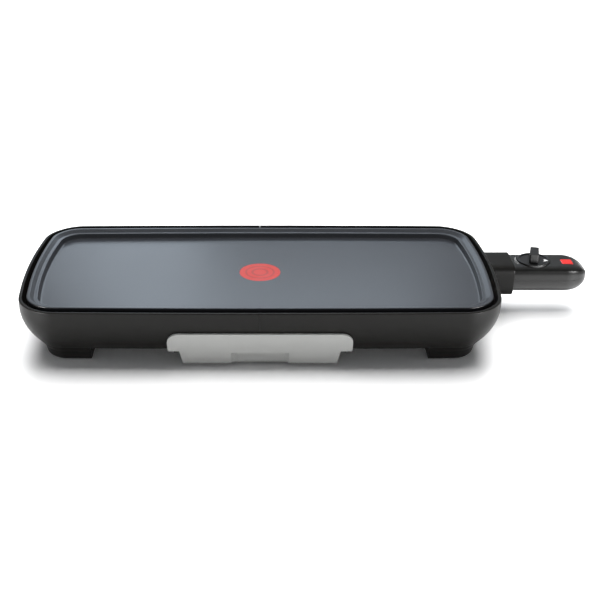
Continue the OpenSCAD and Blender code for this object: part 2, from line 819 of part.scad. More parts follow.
module housing_bottom() {
    color([0.14, 0.14, 0.14]) difference() {
        union() {
            housing_shell();
            for (p = screw_posts)
                rod_z(p[0], p[1], clamp_boss_r - 0.3, thermo_z - inner_b + 2.2, thermo_z);
        }
        block([nose_x - 2 * sink, -thermo_a - sink, thermo_z - seam_gap / 2],
            [end_x + sink, thermo_a + sink, rim_z]);
        gland_hole();
        for (p = screw_posts) {
            rod_z(p[0], p[1], screw_r + 3 * hole_gap, 0, thermo_z + sink);
            rod_z(p[0], p[1], head_r + 2 * hole_gap, 0, thermo_z - inner_b + 3.5);
        }
    }
}

module housing_screws() {
    color("dimgray") for (p = screw_posts)
        screw_up(p[0], p[1], thermo_z - inner_b + 3.5, thermo_z + 8.5);
}

// The moulded block that closes the nose and holds the sleeves and the probe
module contact_block() {
    color("saddlebrown") difference() {
        thermo_tube(nose_x + 0.5, nose_x + block_l, inner_a - seat_gap, inner_b - seat_gap);
        for (sy = [-1, 1])
            rod_x(sy * pin_pitch, pin_z, sleeve_r + hole_gap, nose_x, nose_x + block_l + sink);
        rod_x(0, earth_z, sleeve_r + hole_gap, nose_x, nose_x + block_l + sink);
        rod_x(0, probe_z, probe_r + hole_gap, nose_x, nose_x + block_l + sink);
    }
}

module contact_sleeves() {
    color("gold") for (c = [[-pin_pitch, pin_z], [pin_pitch, pin_z], [0, earth_z]])
        difference() {
            rod_x(c[0], c[1], sleeve_r, nose_x + 1, nose_x + 1 + sleeve_l);
            rod_x(c[0], c[1], pin_r + slide_gap / 2, nose_x, nose_x + sleeve_l);
        }
}

module probe_rod() {
    color("silver") rod_x(0, probe_z, probe_r, probe_tip, nose_x + block_l + 11);
}

// The strip that bends with the probe's heat and works the switch
module bimetal_arm() {
    x0 = nose_x + block_l + 8;
    z0 = probe_z - probe_r - 1.2;
    color("peru") translate([0, 0, z0]) linear_extrude(height = 1.2)
        polygon([[x0, -3], [x0 + 5, -3], [x0 + 5, 6.5], [x0 + 38, 6.5], [x0 + 38, 11.5],
            [x0, 11.5]]);
}

module switch_base() {
    color("saddlebrown") union() {
        block([switch_x, -8, thermo_z - inner_b + 1.2], [switch_x + 10, 8, blade_z[0]]);
        block([switch_x, blade_y[0], blade_z[0] + blade_t],
            [switch_x + 8, blade_y[1], blade_z[1]]);
        block([switch_x, blade_y[1] + 0.2, blade_z[0] - through],
            [switch_x + 8, blade_y[1] + 3, blade_z[1]]);
    }
}

module switch_blades() {
    contact_x = switch_x + blade_l - 4;
    mid_y = (blade_y[0] + blade_y[1]) / 2;
    color("gold") union() {
        for (z = blade_z) block([switch_x, blade_y[0], z],
            [switch_x + blade_l, blade_y[1], z + blade_t]);
        rod_z(contact_x, mid_y, 1.8, blade_z[0] + blade_t / 2, blade_z[0] + blade_t + 1.1);
        rod_z(contact_x, mid_y, 1.8, blade_z[1] - 1.1, blade_z[1] + blade_t / 2);
    }
}

module indicator_lamp() {
    color("orange") rod_z(lamp_x, lamp_y, 3, thermo_z + 1, lens_flange_z[0] - 0.2);
}

module lamp_lens() {
    h = lens_w / 2;
    f = h + lens_flange;
    color("red") union() {
        block([lamp_x - h, lamp_y - h, lens_flange_z[0]],
            [lamp_x + h, lamp_y + h, thermo_z + thermo_b + 0.2]);
        block([lamp_x - f, lamp_y - f, lens_flange_z[0]],
            [lamp_x + f, lamp_y + f, lens_flange_z[1]]);
    }
}

module cord_gland() {
    color([0.2, 0.2, 0.2]) difference() {
        union() {
            rod_y(gland_x, thermo_z, gland_r, gland_in, gland_out);
            rod_y(gland_x, thermo_z, gland_r + 2, gland_in, gland_in + 1.5);
        }
        rod_y(gland_x, thermo_z, cord_r, gland_in - sink, gland_out + sink);
    }
}

// ---- Dial ----

module dial_knob() {
    top = dial_z + dial_t;
    color([0.2, 0.2, 0.2]) difference() {
        union() {
            rod_z(dial_x, 0, dial_r, dial_z, top);
            translate([dial_x, 0, 0]) rotate([0, 0, bar_turn])
                block([-bar_w / 2, -bar_l / 2, top - sink], [bar_w / 2, bar_l / 2, top + bar_h]);
        }
        rod_z(dial_x, 0, spindle_r + hole_gap, dial_z - sink, top + 2);
    }
}

module dial_spindle() {
    color("gold") union() {
        rod_z(dial_x, 0, spindle_r, cam_z, dial_z + dial_t + 1.5);
        difference() {
            rod_z(dial_x, 0, cam_r, cam_z, cam_z + cam_t);
            block([dial_x + cam_r - 1.5, -cam_r, cam_z - sink],
                [dial_x + cam_r + sink, cam_r, cam_z + cam_t + sink]);
        }
    }
}

module spindle_clip() {
    z1 = dial_seat_z - dial_pad_t - seat_gap;
    color("silver") difference() {
        rod_z(dial_x, 0, spindle_r + 2, z1 - 0.8, z1);
        rod_z(dial_x, 0, spindle_r + hole_gap, z1 - 2, z1 + sink);
        block([dial_x, -1.5, z1 - 2], [dial_x + spindle_r + sink + 2, 1.5, z1 + sink]);
    }
}

// ---- Drip tray ----

// The leaning front, drawn in its own plane with its lower edge on X
module panel_shape() {
    hw = panel_w / 2;
    low = panel_low_w / 2;
    r = panel_round;
    arc_steps = 10;
    right = concat([[low - panel_low_taper, 0], [low, panel_low_h], [hw, panel_low_h]],
        [for (k = [0:arc_steps]) let (a = 90 * k / arc_steps)
            [hw - r + r * cos(a), panel_h - r + r * sin(a)]]);
    polygon(concat(right, [for (k = [len(right) - 1:-1:0]) [-right[k][0], right[k][1]]]));
}

module tray_panel() {
    g = grip_w / 2;
    front_y = -(base_hd + panel_gap);
    back = grip_d + panel_t;
    translate([0, front_y, skirt_z + panel_rise]) rotate([panel_lean, 0, 0])
        translate([0, 0, -panel_h]) difference() {
            union() {
                rotate([90, 0, 0]) translate([0, 0, -panel_t]) linear_extrude(height = panel_t)
                    panel_shape();
                block([-g - panel_t, 0, 0], [g + panel_t, back, panel_low_h - 0.2]);
            }
            translate([0, 0, -sink]) linear_extrude(height = grip_h + sink)
                polygon([[-g, -sink], [g, -sink], [g, 0], [g - grip_taper, grip_d],
                    [-g + grip_taper, grip_d], [-g, 0]]);
        }
}

module drip_tray() {
    z1 = tray_top;
    color([0.6, 0.61, 0.6]) union() {
        tray_panel();
        difference() {
            union() {
                block([-tray_hw, -tray_front, tray_z], [tray_hw, tray_l - tray_front, z1]);
                block([-tray_hw - lip_w, -tray_front + 6, z1 - lip_t],
                    [tray_hw + lip_w, tray_l - tray_front, z1]);
            }
            block([-tray_hw + tray_t, -tray_front + tray_t, tray_z + tray_t],
                [tray_hw - tray_t, tray_l - tray_front - tray_t, z1 + sink]);
        }
    }
}

module placed() {
    translate([-centre_x, 0, 0]) children();
}

// Pieces of the thermostat and its socket are drawn about their own middle line
module plugged() {
    placed() translate([0, thermo_y, 0]) children();
}

placed() base_left();
placed() base_right();
placed() front_joint_plate();
placed() rear_joint_plate();
placed() joint_screws();
placed() foot_pads();
placed() tray_runner_left();
placed() tray_runner_right();
placed() runner_screws();
placed() heat_reflector();
placed() reflector_screws();
placed() cooking_plate();
placed() heat_spot();
placed() heating_element();
placed() element_clamps();
placed() clamp_screws();
plugged() terminal_links();
plugged() terminal_pins();
plugged() earth_pin();
plugged() terminal_bushes();
plugged() terminal_bracket();
plugged() bracket_screws();
plugged() terminal_shroud();
plugged() shroud_screws();
plugged() housing_top();
plugged() housing_bottom();
plugged() housing_screws();
plugged() contact_block();
plugged() contact_sleeves();
plugged() probe_rod();
plugged() bimetal_arm();
plugged() switch_base();
plugged() switch_blades();
plugged() indicator_lamp();
plugged() lamp_lens();
plugged() cord_gland();
plugged() dial_knob();
plugged() dial_spindle();
plugged() spindle_clip();
placed() drip_tray();
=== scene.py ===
"""Electric table griddle: detailed pieces, materials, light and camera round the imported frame.

Shapes are worked out in millimetres from the griddle's middle, X along its length, and turned
into metres in the row frame when a piece is made. Places and main sizes come from the frame.
"""

import math

import bmesh
import bpy
from mathutils import Matrix, Vector


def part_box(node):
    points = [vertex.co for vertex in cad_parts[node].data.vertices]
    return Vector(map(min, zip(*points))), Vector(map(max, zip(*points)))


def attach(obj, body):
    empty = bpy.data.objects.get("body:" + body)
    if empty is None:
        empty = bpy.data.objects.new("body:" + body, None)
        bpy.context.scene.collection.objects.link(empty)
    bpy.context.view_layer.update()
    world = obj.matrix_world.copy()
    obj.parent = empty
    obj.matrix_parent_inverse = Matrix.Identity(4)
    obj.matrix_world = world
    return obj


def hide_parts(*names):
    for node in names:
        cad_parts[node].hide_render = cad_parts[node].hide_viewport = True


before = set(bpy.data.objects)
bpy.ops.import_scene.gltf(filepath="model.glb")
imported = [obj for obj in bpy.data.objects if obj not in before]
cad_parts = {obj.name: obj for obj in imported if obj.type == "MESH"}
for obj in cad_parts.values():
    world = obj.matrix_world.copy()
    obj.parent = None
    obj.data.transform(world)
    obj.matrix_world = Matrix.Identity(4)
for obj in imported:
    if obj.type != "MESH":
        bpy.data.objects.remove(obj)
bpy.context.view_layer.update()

MM = 0.001


# ---------------------------------------------------------------- places from the frame

def raw_box(*names):
    """Lowest and highest corner of some CAD nodes together, in metres."""
    boxes = [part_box(name) for name in names]
    lo = Vector([min(b[0][i] for b in boxes) for i in range(3)])
    hi = Vector([max(b[1][i] for b in boxes) for i in range(3)])
    return lo, hi


base_box = raw_box("base_left", "base_right")
MIDDLE = Vector(((base_box[0].x + base_box[1].x) / 2, 0.0, 0.0))


def node_box(*names):
    """The same in millimetres from the griddle's middle."""
    lo, hi = raw_box(*names)
    return (lo - MIDDLE) / MM, (hi - MIDDLE) / MM


base_lo, base_hi = node_box("base_left", "base_right")
SEAM = node_box("base_right")[0].x - node_box("base_left")[1].x
BASE_HW = base_hi.x - SEAM / 2
BASE_HD = base_hi.y
RIM_Z = base_hi.z
FOOT_Z = base_lo.z
PLATE_INSET = 0.2
plate_lo, plate_hi = node_box("cooking_plate")
PLATE_HW = plate_hi.x + PLATE_INSET
PLATE_HD = plate_hi.y + PLATE_INSET
PLATE_TOP = plate_hi.z
spot_lo, spot_hi = node_box("heat_spot")
SURF_Z = spot_hi.z
UNDER_Z = node_box("terminal_bracket")[1].z
body_lo, body_hi = node_box("housing_top", "housing_bottom")
THERMO_A = (body_hi.y - body_lo.y) / 2
THERMO_Y = (body_hi.y + body_lo.y) / 2
THERMO_B = (body_hi.z - body_lo.z) / 2
THERMO_Z = (body_hi.z + body_lo.z) / 2
NOSE_X = body_lo.x
END_X = body_hi.x
shroud_lo, shroud_hi = node_box("terminal_shroud")
SHROUD_X = shroud_hi.x
tray_lo, tray_hi = node_box("drip_tray")

# Shape of the base's wall
SIDE_BOW = 10.5
FRONT_BOW = 2.5
BASE_CORNER = 38.0
CORNER_KEEP = 0.8
BAND_H = 9.0
TUCK = 18.0
SKIRT_Z = 18.0
BELLY_Z = RIM_Z - BAND_H
WALL = 3.0
RIM_T = 3.4
FLANGE_T = 4.0
FLANGE_IN = 42.0
FLANGE_Z = SKIRT_Z + FLANGE_T


# ---------------------------------------------------------------- solids as (points, faces)

def arc_profile(corners, steps=6):
    """A polyline in the plane with its corners rounded; each corner is (u, v, radius)."""
    out = []
    last = len(corners) - 1
    for i, (u, v, r) in enumerate(corners):
        p = Vector((u, v))
        if r <= 0 or i in (0, last):
            out.append((u, v))
            continue
        a = (Vector(corners[i - 1][:2]) - p)
        b = (Vector(corners[i + 1][:2]) - p)
        turn = a.angle(b)
        cut = min(r / math.tan(turn / 2), 0.49 * a.length, 0.49 * b.length)
        start, end = p + a.normalized() * cut, p + b.normalized() * cut
        for k in range(steps + 1):
            t = k / steps
            q = (1 - t) ** 2 * start + 2 * t * (1 - t) * p + t * t * end
            out.append((q.x, q.y))
    return out


def loft(rings, cap=True):
    """A closed skin through rings that have the same number of points."""
    n = len(rings[0])
    points = [Vector(p) for ring in rings for p in ring]
    faces = []
    for j in range(len(rings) - 1):
        for k in range(n):
            m = (k + 1) % n
            faces.append((j * n + k, j * n + m, (j + 1) * n + m, (j + 1) * n + k))
    if cap:
        faces.append(tuple(range(n))[::-1])
        faces.append(tuple((len(rings) - 1) * n + k for k in range(n)))
    return points, faces


def sweep(loops):
    """A skin along open lines: loops[i] is one point of the closed section along the path."""
    m, n = len(loops), len(loops[0])
    points = [Vector(p) for loop in loops for p in loop]
    faces = []
    for j in range(m):
        a, b = j * n, ((j + 1) % m) * n
        for k in range(n - 1):
            faces.append((a + k, a + k + 1, b + k + 1, b + k))
    faces.append(tuple(j * n for j in range(m)))
    faces.append(tuple(j * n + n - 1 for j in range(m))[::-1])
    return points, faces


def lathe(profile, centre=(0, 0, 0), axis="Z", steps=64):
    """A solid turned round an axis from (radius, station) pairs; its ends are capped."""
    rings = []
    for r, s in profile:
        ring = []
        for k in range(steps):
            a = 2 * math.pi * k / steps
            c, d = r * math.cos(a), r * math.sin(a)
            p = {"Z": (c, d, s), "X": (s, c, d), "Y": (d, s, c)}[axis]
            ring.append(Vector(p) + Vector(centre))
        rings.append(ring)
    return loft(rings)


def rod(x, y, r, z0, z1, steps=40):
    """A plain cylinder along Z, used as a tool for holes and as the core of posts."""
    return lathe([(r, z0), (r, z1)], (x, y, 0), "Z", steps)


def rod_x(y, z, r, x0, x1, steps=40):
    """The same along X."""
    return lathe([(r, x0), (r, x1)], (0, y, z), "X", steps)


def block(lo, hi):
    """A plain box between two corners, used as a tool."""
    (x0, y0, z0), (x1, y1, z1) = lo, hi
    return loft([[(x0, y0, z), (x1, y0, z), (x1, y1, z), (x0, y1, z)] for z in (z0, z1)])


def rounded_rect(hw, hd, r, steps=8):
    """Points of a rounded rectangle round the origin, counter-clockwise."""
    out = []
    for i, (sx, sy) in enumerate(((1, 1), (-1, 1), (-1, -1), (1, -1))):
        for k in range(steps + 1):
            a = math.pi / 2 * (i + k / steps)
            out.append((sx * (hw - r) + r * math.cos(a), sy * (hd - r) + r * math.sin(a)))
    return out


def soft_block(lo, hi, r, edge, steps=8):
    """A box with upright edges of radius r and its top and bottom edges rounded."""
    lo, hi = Vector(lo), Vector(hi)
    mid, half = (lo + hi) / 2, (hi - lo) / 2
    rings = []
    for inset, z in arc_profile([(edge * 2, lo.z, 0), (0, lo.z, edge), (0, hi.z, edge),
                                 (edge * 2, hi.z, 0)]):
        ring = rounded_rect(half.x - inset, half.y - inset, max(r - inset, 0.05), steps)
        rings.append([(mid.x + x, mid.y + y, z) for x, y in ring])
    return loft(rings)


def prism(outline, z0, z1):
    """An upright prism on a counter-clockwise outline."""
    return loft([[(x, y, z) for x, y in outline] for z in (z0, z1)])


def joined(*solids):
    """Several solids as one."""
    points, faces = [], []
    for p, f in solids:
        base = len(points)
        points += p
        faces += [tuple(base + i for i in face) for face in f]
    return points, faces


def moved(solid, matrix):
    """A solid with its points put through a matrix."""
    points, faces = solid
    return [matrix @ p for p in points], faces


# ---------------------------------------------------------------- objects

def make_mesh(name, solid):
    """A mesh in metres in the row frame, its faces turned outwards."""
    points, faces = solid
    mesh = bpy.data.meshes.new(name)
    mesh.from_pydata([p * MM + MIDDLE for p in points], [], faces)
    bm = bmesh.new()
    bm.from_mesh(mesh)
    bmesh.ops.recalc_face_normals(bm, faces=bm.faces)
    bm.to_mesh(mesh)
    bm.free()
    return mesh


def make_object(name, solid):
    obj = bpy.data.objects.new(name, make_mesh(name, solid))
    bpy.context.scene.collection.objects.link(obj)
    return obj


def keep_result(obj):
    """Replaces the mesh by the result of the modifiers, and removes them."""
    bpy.context.view_layer.update()
    result = bpy.data.meshes.new_from_object(
        obj.evaluated_get(bpy.context.evaluated_depsgraph_get()))
    obj.modifiers.clear()
    old, obj.data = obj.data, result
    bpy.data.meshes.remove(old)


def combine(obj, operation, *solids):
    """Adds solids to an object, cuts them out of it or keeps what they share with it."""
    for solid in solids:
        tool = make_object("tool", solid)
        mod = obj.modifiers.new("combine", "BOOLEAN")
        mod.operation = operation
        mod.solver = "MANIFOLD"
        mod.object = tool
        keep_result(obj)
        mesh = tool.data
        bpy.data.objects.remove(tool)
        bpy.data.meshes.remove(mesh)


def add(obj, *solids):
    combine(obj, "UNION", *solids)


def cut(obj, *solids):
    combine(obj, "DIFFERENCE", *solids)


def combine_object(obj, other):
    """Adds another object to an object and removes it."""
    mod = obj.modifiers.new("join", "BOOLEAN")
    mod.operation = "UNION"
    mod.solver = "MANIFOLD"
    mod.object = other
    keep_result(obj)
    bpy.data.objects.remove(other)


def round_edges(obj, width, sharp, segments=3):
    """Rounds the edges that are sharper than an angle in degrees."""
    mod = obj.modifiers.new("edges", "BEVEL")
    mod.width = width * MM
    mod.segments = segments
    mod.limit_method = "ANGLE"
    mod.angle_limit = math.radians(sharp)
    keep_result(obj)


def place_mesh(obj, matrix):
    """Moves an object's mesh by a matrix that works in millimetres from the middle."""
    for v in obj.data.vertices:
        v.co = (matrix @ ((v.co - MIDDLE) / MM)) * MM + MIDDLE


def finish_piece(obj, body, nodes, material, edge=0.0, sharp=35.0):
    """Rounds the edges, smooths the shading, and gives the piece its place in the frame."""
    mesh = obj.data
    bm = bmesh.new()
    bm.from_mesh(mesh)
    bmesh.ops.remove_doubles(bm, verts=bm.verts, dist=0.5e-6)
    bmesh.ops.dissolve_degenerate(bm, edges=bm.edges, dist=0.5e-6)
    bm.to_mesh(mesh)
    bm.free()
    for polygon in mesh.polygons:
        polygon.use_smooth = True
    if edge:
        round_edges(obj, edge, sharp)
        mesh = obj.data
    mesh.set_sharp_from_angle(angle=math.radians(sharp + 10))
    mod = obj.modifiers.new("normals", "WEIGHTED_NORMAL")
    mod.keep_sharp = True
    mesh.materials.clear()
    mesh.materials.append(material)
    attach(obj, body)
    if nodes:
        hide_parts(*nodes)
    return obj


# ---------------------------------------------------------------- outlines

def outline(hw, hd, r, bow_x, bow_y, n_side=8, n_corner=18, n_front=22):
    """A rounded rectangle with bowed sides, counter-clockwise from the +X middle."""
    quarter = []
    for k in range(n_side):
        quarter.append((hw, (hd - r) * k / n_side))
    for k in range(n_corner + 1):
        a = math.pi / 2 * k / n_corner
        quarter.append((hw - r + r * math.cos(a), hd - r + r * math.sin(a)))
    for k in range(1, n_front + 1):
        quarter.append(((hw - r) * (1 - k / n_front), hd))
    quarter = [(x - bow_x * x / hw * (y / hd) ** 2, y - bow_y * y / hd * (x / hw) ** 2)
               for x, y in quarter]
    n = len(quarter) - 1
    return (quarter[:n] + [(-x, y) for x, y in quarter[:0:-1]]
            + [(-x, -y) for x, y in quarter[:n]] + [(x, -y) for x, y in quarter[:0:-1]])


def base_outline(inset):
    return outline(BASE_HW - inset, BASE_HD - inset, BASE_CORNER - CORNER_KEEP * inset,
                   SIDE_BOW, FRONT_BOW)


PLATE_CORNER = 29.0
PLATE_SIDE_BOW = 8.33


def plate_outline(inset):
    return outline(PLATE_HW - inset, PLATE_HD - inset, PLATE_CORNER - CORNER_KEEP * inset,
                   PLATE_SIDE_BOW, FRONT_BOW)


def skirt_in(z):
    """Inset of the wall's outer face at the height z."""
    return 0.0 if z > BELLY_Z else TUCK * ((BELLY_Z - z) / (BELLY_Z - SKIRT_Z)) ** 2


def wall_section(z_low, floor=True):
    """The wall's section as (inset, z): up the outside, over the rim, down the inside."""
    steps = 14
    outside = [(skirt_in(z), z) for z in
               (z_low + 0.5 + (BELLY_Z - z_low - 0.5) * k / steps for k in range(steps + 1))]
    rim = arc_profile([(0, BELLY_Z, 0), (0, RIM_Z, 1.3), (RIM_T, RIM_Z, 0.8),
                       (RIM_T, BELLY_Z, 0)], 5)[1:]
    low = FLANGE_Z if floor else z_low
    inside = [(skirt_in(z) + WALL, z) for z in
              (BELLY_Z - (BELLY_Z - low) * k / steps for k in range(1, steps + 1))]
    foot = [(skirt_in(z_low) + 0.45, z_low)]
    if floor:
        foot = [(FLANGE_IN - 0.4, FLANGE_Z), (FLANGE_IN, FLANGE_Z - 0.4),
                (FLANGE_IN, SKIRT_Z + 0.4), (FLANGE_IN - 0.4, SKIRT_Z)] + foot
    return outside + rim + inside + foot


# ---------------------------------------------------------------- materials

def node_material(name):
    material = bpy.data.materials.new(name)
    material.use_nodes = True
    nodes = material.node_tree.nodes
    shader = nodes.get("Principled BSDF")
    coords = nodes.new("ShaderNodeTexCoord")
    return material, nodes, material.node_tree.links, shader, coords.outputs["Object"]


def noise(nodes, links, vector, scale, detail=3.0, stretch=None):
    """A noise texture in object space; scale is in features per metre."""
    if stretch:
        mapping = nodes.new("ShaderNodeMapping")
        mapping.inputs["Scale"].default_value = stretch
        links.new(vector, mapping.inputs["Vector"])
        vector = mapping.outputs["Vector"]
    texture = nodes.new("ShaderNodeTexNoise")
    texture.inputs["Scale"].default_value = scale
    texture.inputs["Detail"].default_value = detail
    links.new(vector, texture.inputs["Vector"])
    return texture.outputs["Fac"]


def ramp(nodes, links, value, stops, interpolation="LINEAR"):
    """A colour ramp; stops are (position, grey or colour)."""
    node = nodes.new("ShaderNodeValToRGB")
    node.color_ramp.interpolation = interpolation
    elements = node.color_ramp.elements
    while len(elements) < len(stops):
        elements.new(0.5)
    for element, (position, colour) in zip(elements, stops):
        element.position = position
        rgb = colour if isinstance(colour, tuple) else (colour,) * 3
        element.color = (*rgb, 1.0)
    links.new(value, node.inputs["Fac"])
    return node.outputs["Color"]


def bump(nodes, links, height, depth, under=None):
    """Normals from a height map; depth is in metres."""
    node = nodes.new("ShaderNodeBump")
    node.inputs["Strength"].default_value = 1.0
    node.inputs["Distance"].default_value = depth
    links.new(height, node.inputs["Height"])
    if under:
        links.new(under, node.inputs["Normal"])
    return node.outputs["Normal"]


def multiplied(nodes, links, one, other):
    """The product of two colours."""
    mix = nodes.new("ShaderNodeMix")
    mix.data_type = "RGBA"
    mix.blend_type = "MULTIPLY"
    mix.inputs["Factor"].default_value = 1.0
    colours = [socket for socket in mix.inputs if socket.type == "RGBA"]
    links.new(one, colours[0])
    links.new(other, colours[1])
    return next(socket for socket in mix.outputs if socket.type == "RGBA")


def share_from_middle(nodes, links, place, node, flat=False):
    """Distance from the middle of a CAD node as a share of its half width; flat leaves Z out."""
    lo, hi = (Vector(corner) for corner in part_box(node))
    keep = Vector((1, 1, 0 if flat else 1))
    mapping = nodes.new("ShaderNodeMapping")
    mapping.inputs["Location"].default_value = -(lo + hi) / 2 * keep
    mapping.inputs["Scale"].default_value = keep
    links.new(place, mapping.inputs["Vector"])
    length = nodes.new("ShaderNodeVectorMath")
    length.operation = "LENGTH"
    links.new(mapping.outputs["Vector"], length.inputs[0])
    share = nodes.new("ShaderNodeMath")
    share.operation = "DIVIDE"
    share.inputs[1].default_value = (hi.x - lo.x) / 2
    links.new(length.outputs["Value"], share.inputs[0])
    return share.outputs["Value"]


def moulded(name, dark, light, rough=(0.34, 0.42), grain=2600.0, depth=0.00002, specular=0.5,
            mottle=26.0, painted_sheen=None):
    """Moulded plastic: a fine spark-eroded grain, with slow changes of tone and gloss.

    The last argument paints sheen by the way the surface faces in the world, as (position, sheen)
    from down to up.
    """
    material, nodes, links, shader, place = node_material(name)
    slow = noise(nodes, links, place, mottle, 4.0)
    links.new(ramp(nodes, links, slow, [(0.15, dark), (0.85, light)]),
              shader.inputs["Base Color"])
    links.new(ramp(nodes, links, slow, [(0.15, rough[0]), (0.85, rough[1])]),
              shader.inputs["Roughness"])
    fine = noise(nodes, links, place, grain, 2.0)
    links.new(bump(nodes, links, fine, depth), shader.inputs["Normal"])
    shader.inputs["Specular IOR Level"].default_value = specular
    # Painted sheen: the specular level follows the height of the world normal, so down- and
    # up-facing parts shine and the sides stay dull, as a painted reflection.
    if painted_sheen:
        split = nodes.new("ShaderNodeSeparateXYZ")
        links.new(nodes.new("ShaderNodeNewGeometry").outputs["Normal"], split.inputs[0])
        upward = nodes.new("ShaderNodeMapRange")
        upward.inputs["From Min"].default_value = -1.0
        links.new(split.outputs["Z"], upward.inputs["Value"])
        links.new(ramp(nodes, links, upward.outputs["Result"], painted_sheen),
                  shader.inputs["Specular IOR Level"])
    return material


def metal(name, dark, light, rough=(0.3, 0.45), stretch=(1.0, 12.0, 12.0), grain=180.0,
          depth=0.000012):
    """Sheet or drawn metal with fine lines along one direction."""
    material, nodes, links, shader, place = node_material(name)
    lines = noise(nodes, links, place, grain, 5.0, stretch)
    links.new(ramp(nodes, links, lines, [(0.15, dark), (0.85, light)]),
              shader.inputs["Base Color"])
    links.new(ramp(nodes, links, lines, [(0.15, rough[0]), (0.85, rough[1])]),
              shader.inputs["Roughness"])
    links.new(bump(nodes, links, lines, depth), shader.inputs["Normal"])
    shader.inputs["Metallic"].default_value = 1.0
    return material


def nonstick():
    """Cast plate coating: blue-grey satin with fine pale and dark flecks."""
    material, nodes, links, shader, place = node_material("nonstick_coating")
    flecks = noise(nodes, links, place, 900.0, 2.0)
    cloud = noise(nodes, links, place, 14.0, 5.0)
    base = ramp(nodes, links, flecks, [(0.30, (0.017, 0.019, 0.022)),
                                       (0.50, (0.021, 0.023, 0.027)),
                                       (0.72, (0.029, 0.031, 0.035))])
    tone = ramp(nodes, links, cloud, [(0.1, 0.84), (0.9, 1.0)])
    links.new(multiplied(nodes, links, base, tone), shader.inputs["Base Color"])
    links.new(ramp(nodes, links, cloud, [(0.1, 0.285), (0.9, 0.33)]), shader.inputs["Roughness"])
    fine = noise(nodes, links, place, 2400.0, 3.0)
    links.new(bump(nodes, links, fine, 0.00001), shader.inputs["Normal"])
    shader.inputs["Specular IOR Level"].default_value = 0.6
    return material


def spot_red():
    """Temperature spot: red coating with darker rings printed round its middle."""
    material, nodes, links, shader, place = node_material("temperature_spot")
    share = share_from_middle(nodes, links, place, "heat_spot", flat=True)
    bright, deep = (0.27, 0.014, 0.008), (0.17, 0.014, 0.009)
    rings = ramp(nodes, links, share, [
        (0.0, bright), (0.30, bright), (0.33, deep), (0.41, deep), (0.44, bright),
        (0.62, bright), (0.65, deep), (0.71, deep), (0.74, bright), (1.0, bright)])
    flecks = ramp(nodes, links, noise(nodes, links, place, 1500.0, 2.0),
                  [(0.3, 0.75), (0.7, 1.0)])
    links.new(multiplied(nodes, links, rings, flecks), shader.inputs["Base Color"])
    slow = noise(nodes, links, place, 60.0, 3.0)
    links.new(ramp(nodes, links, slow, [(0.3, 0.38), (0.7, 0.46)]), shader.inputs["Roughness"])
    shader.inputs["Specular IOR Level"].default_value = 0.5
    return material


def glowing_lens():
    """Red window lit from behind by the neon lamp: brightest in its middle."""
    material, nodes, links, shader, place = node_material("glowing_lens")
    share = share_from_middle(nodes, links, place, "lamp_lens")
    links.new(ramp(nodes, links, share,
                   [(0.15, (0.95, 0.10, 0.06)), (0.55, (0.75, 0.02, 0.02)),
                    (1.0, (0.30, 0.01, 0.01))]), shader.inputs["Emission Color"])
    streaks = noise(nodes, links, place, 700.0, 2.0, (1.0, 6.0, 1.0))
    links.new(ramp(nodes, links, streaks, [(0.3, (0.30, 0.010, 0.010)),
                                           (0.7, (0.50, 0.020, 0.016))]),
              shader.inputs["Base Color"])
    links.new(ramp(nodes, links, streaks, [(0.3, 0.10), (0.7, 0.18)]),
              shader.inputs["Roughness"])
    shader.inputs["Emission Strength"].default_value = 0.2
    shader.inputs["Coat Weight"].default_value = 0.6
    return material


